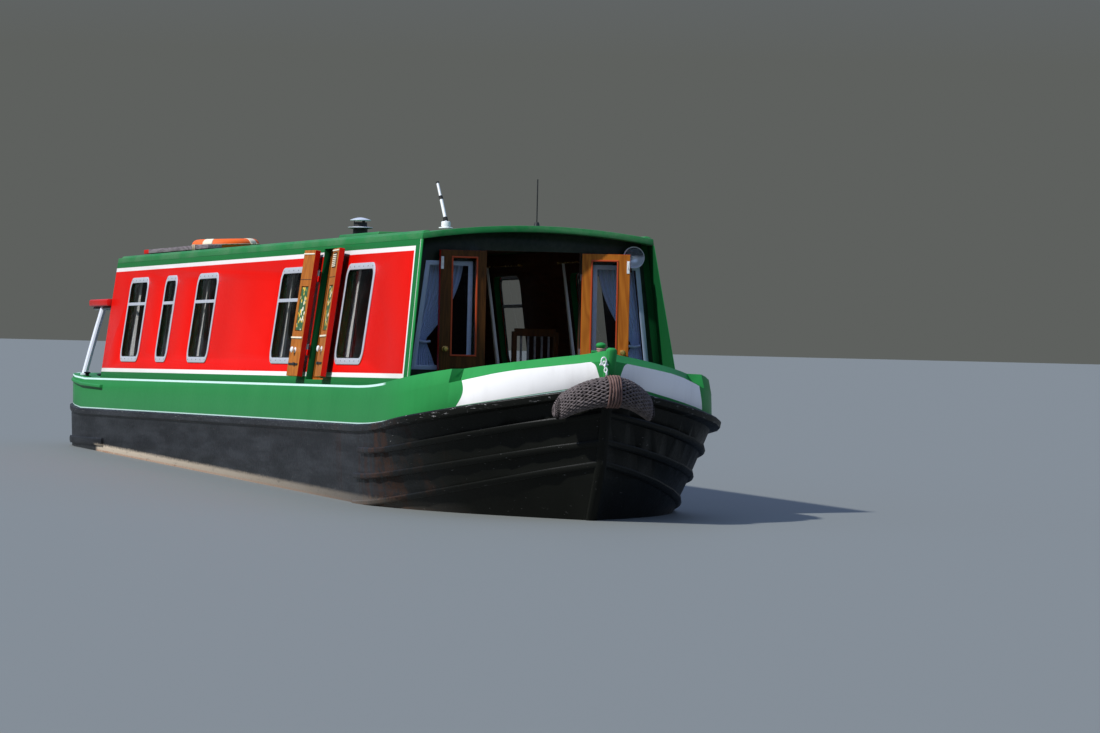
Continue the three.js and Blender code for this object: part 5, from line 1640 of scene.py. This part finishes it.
def addMast():
    foot = place(mast["x"], mast["y"], mast["up"])
    at = Matrix.Translation(foot)
    addPiece("mastBase", turned(mast["base"]), "white_paint", "white", "leaning_mast", at=at)
    reach = mast["boltRadius"]
    bolts = [shifted(turned(mast["bolt"], 6), (reach * math.cos(a + 0.5), reach * math.sin(a + 0.5), 0))
             for a in angles(4)]
    addPiece("mastBolts", bolts, "bare_steel", "steel", at=at)
    low, mid, top = [foot + Vector(point) for point in mast["path"]]
    for name, (start, stop, radius, slot, paint) in mast["runs"].items():
        spans = [2 * (start + (stop - start) * i / 8) for i in range(9)]
        points = [low.lerp(mid, span) if span < 1 else mid.lerp(top, span - 1) for span in spans]
        addPiece(name, smooth(tube(points, radius, curved=False, sides=5), 40), slot, paint)


addMast()
print("roof fittings set")

# Inside: the starboard hatch's lining, a partition aft of the saloon, and a slatted chair
inside = {
    "hatch": (-2.950, -2.410, 0.040, 0.925),
    "liningOut": (-0.106, -0.052),
    "liningThick": 0.016,
    "partitionX": -5.0,
    "partitionThick": 0.022,
    "partitionFoot": -0.950,
    "partitionTop": 0.90,
    "partitionWaist": -0.02,
    "sideGap": 0.010,
    "roofGap": 0.012,
    "stiles": (-0.63, 0.0, 0.63),
    "rails": (-0.80, 0.0, 0.74),
    "mouldWide": 0.06,
    "mouldReach": 0.80,
    "mouldAcross": 0.599,
    "stileOut": (0.0005, 0.012),
    "railOut": (0.0009, 0.0116),
}
chair = {"x": (-1.30, -0.90), "y": (0.05, 0.33), "foot": -0.955, "seatUp": -0.500, "backUp": 0.375,
         "slats": 5,
         "post": 0.016, "seatThick": 0.022, "seatOver": 0.015, "railUp": 0.22, "railHigh": 0.035}


def addHatchLining(sideName):
    x0, x1, low, high = inside["hatch"]
    thick = inside["liningThick"]
    runs = [(x0 - thick, x0, low - thick, high + thick), (x1, x1 + thick, low - thick, high + thick),
            (x0, x1, low - thick, low), (x0, x1, high, high + thick)]
    boards = [block(*run, *inside["liningOut"]) for run in runs]
    addPiece("hatchLining" + sideName.title(), boards, "timber", "leafWood", at=sideMatrix(sides[sideName]))


def addPartition():
    top = inside["partitionTop"]
    half = boat["sideFoot"] - boat["sideThick"] - inside["sideGap"]
    topHalf = half - boat["tumble"] * top
    under = boat["roofThick"] + inside["roofGap"]
    crown = [(y, roofUp(y) - under) for y in (topHalf * (1 - i / 5) for i in range(11))]
    foot, waist = inside["partitionFoot"], inside["partitionWaist"]
    outline = [(-half, foot), (half, foot), (half, waist), (topHalf, top), *crown, (-topHalf, top),
               (-half, waist)]
    at = bulkheadMatrix(inside["partitionX"])
    addPiece("saloonPartition", outlinePlate(outline, inside["partitionThick"], 0, 0.001), "timber",
             "innerWood", at=at)
    wide, reach = inside["mouldWide"], inside["mouldReach"]
    frames = [block(y - wide / 2, y + wide / 2, -reach, reach, *inside["stileOut"],
                    0.003) for y in inside["stiles"]]
    across = inside["mouldAcross"]
    frames += [block(-across, across, up, up + wide, *inside["railOut"], 0.003) for up in inside["rails"]]
    addPiece("partitionMoulding", frames, "timber", "innerWood", at=at)


def addChair():
    (x0, x1), (y0, y1), seat, top = chair["x"], chair["y"], chair["seatUp"], chair["backUp"]
    half, over = chair["post"], chair["seatOver"]
    parts = []
    for y in (y0, y1):
        for x, high in ((x1 - 0.02, top), (x0 + 0.02, seat)):
            parts.append(shifted(block(-half, half, -half, half, 0, high - chair["foot"], 0.004),
                                 place(x, y, chair["foot"])))
    railUp, railHigh = seat + chair["railUp"], chair["railHigh"]
    for up, high in ((seat - 0.05, 0.04), (top - 0.03, 0.05), (railUp, railHigh)):
        parts.append(shifted(block(0, 0.020, 0, y1 - y0, 0, high, 0.004), place(x1 - 0.03, y0, up)))
    board = block(0, x1 - x0, 0, y1 - y0 + 2 * over, 0, chair["seatThick"], 0.006)
    parts.append(shifted(board, place(x0, y0 - over, seat)))
    addPiece("slatChair", parts, "timber", "darkWoodAndShade")
    slats = []
    for k in range(chair["slats"]):
        y = y0 + (y1 - y0) * (k + 1) / (chair["slats"] + 1)
        slat = block(-0.005, 0.005, -0.007, 0.007, 0, top - 0.03 - railUp - railHigh, 0.0015)
        slats.append(shifted(slat, place(x1 - 0.02, y, railUp + railHigh)))
    addPiece("chairSlats", slats, "timber", "greyWood")


addHatchLining("starboard")
addPartition()
addChair()
print("interior set")
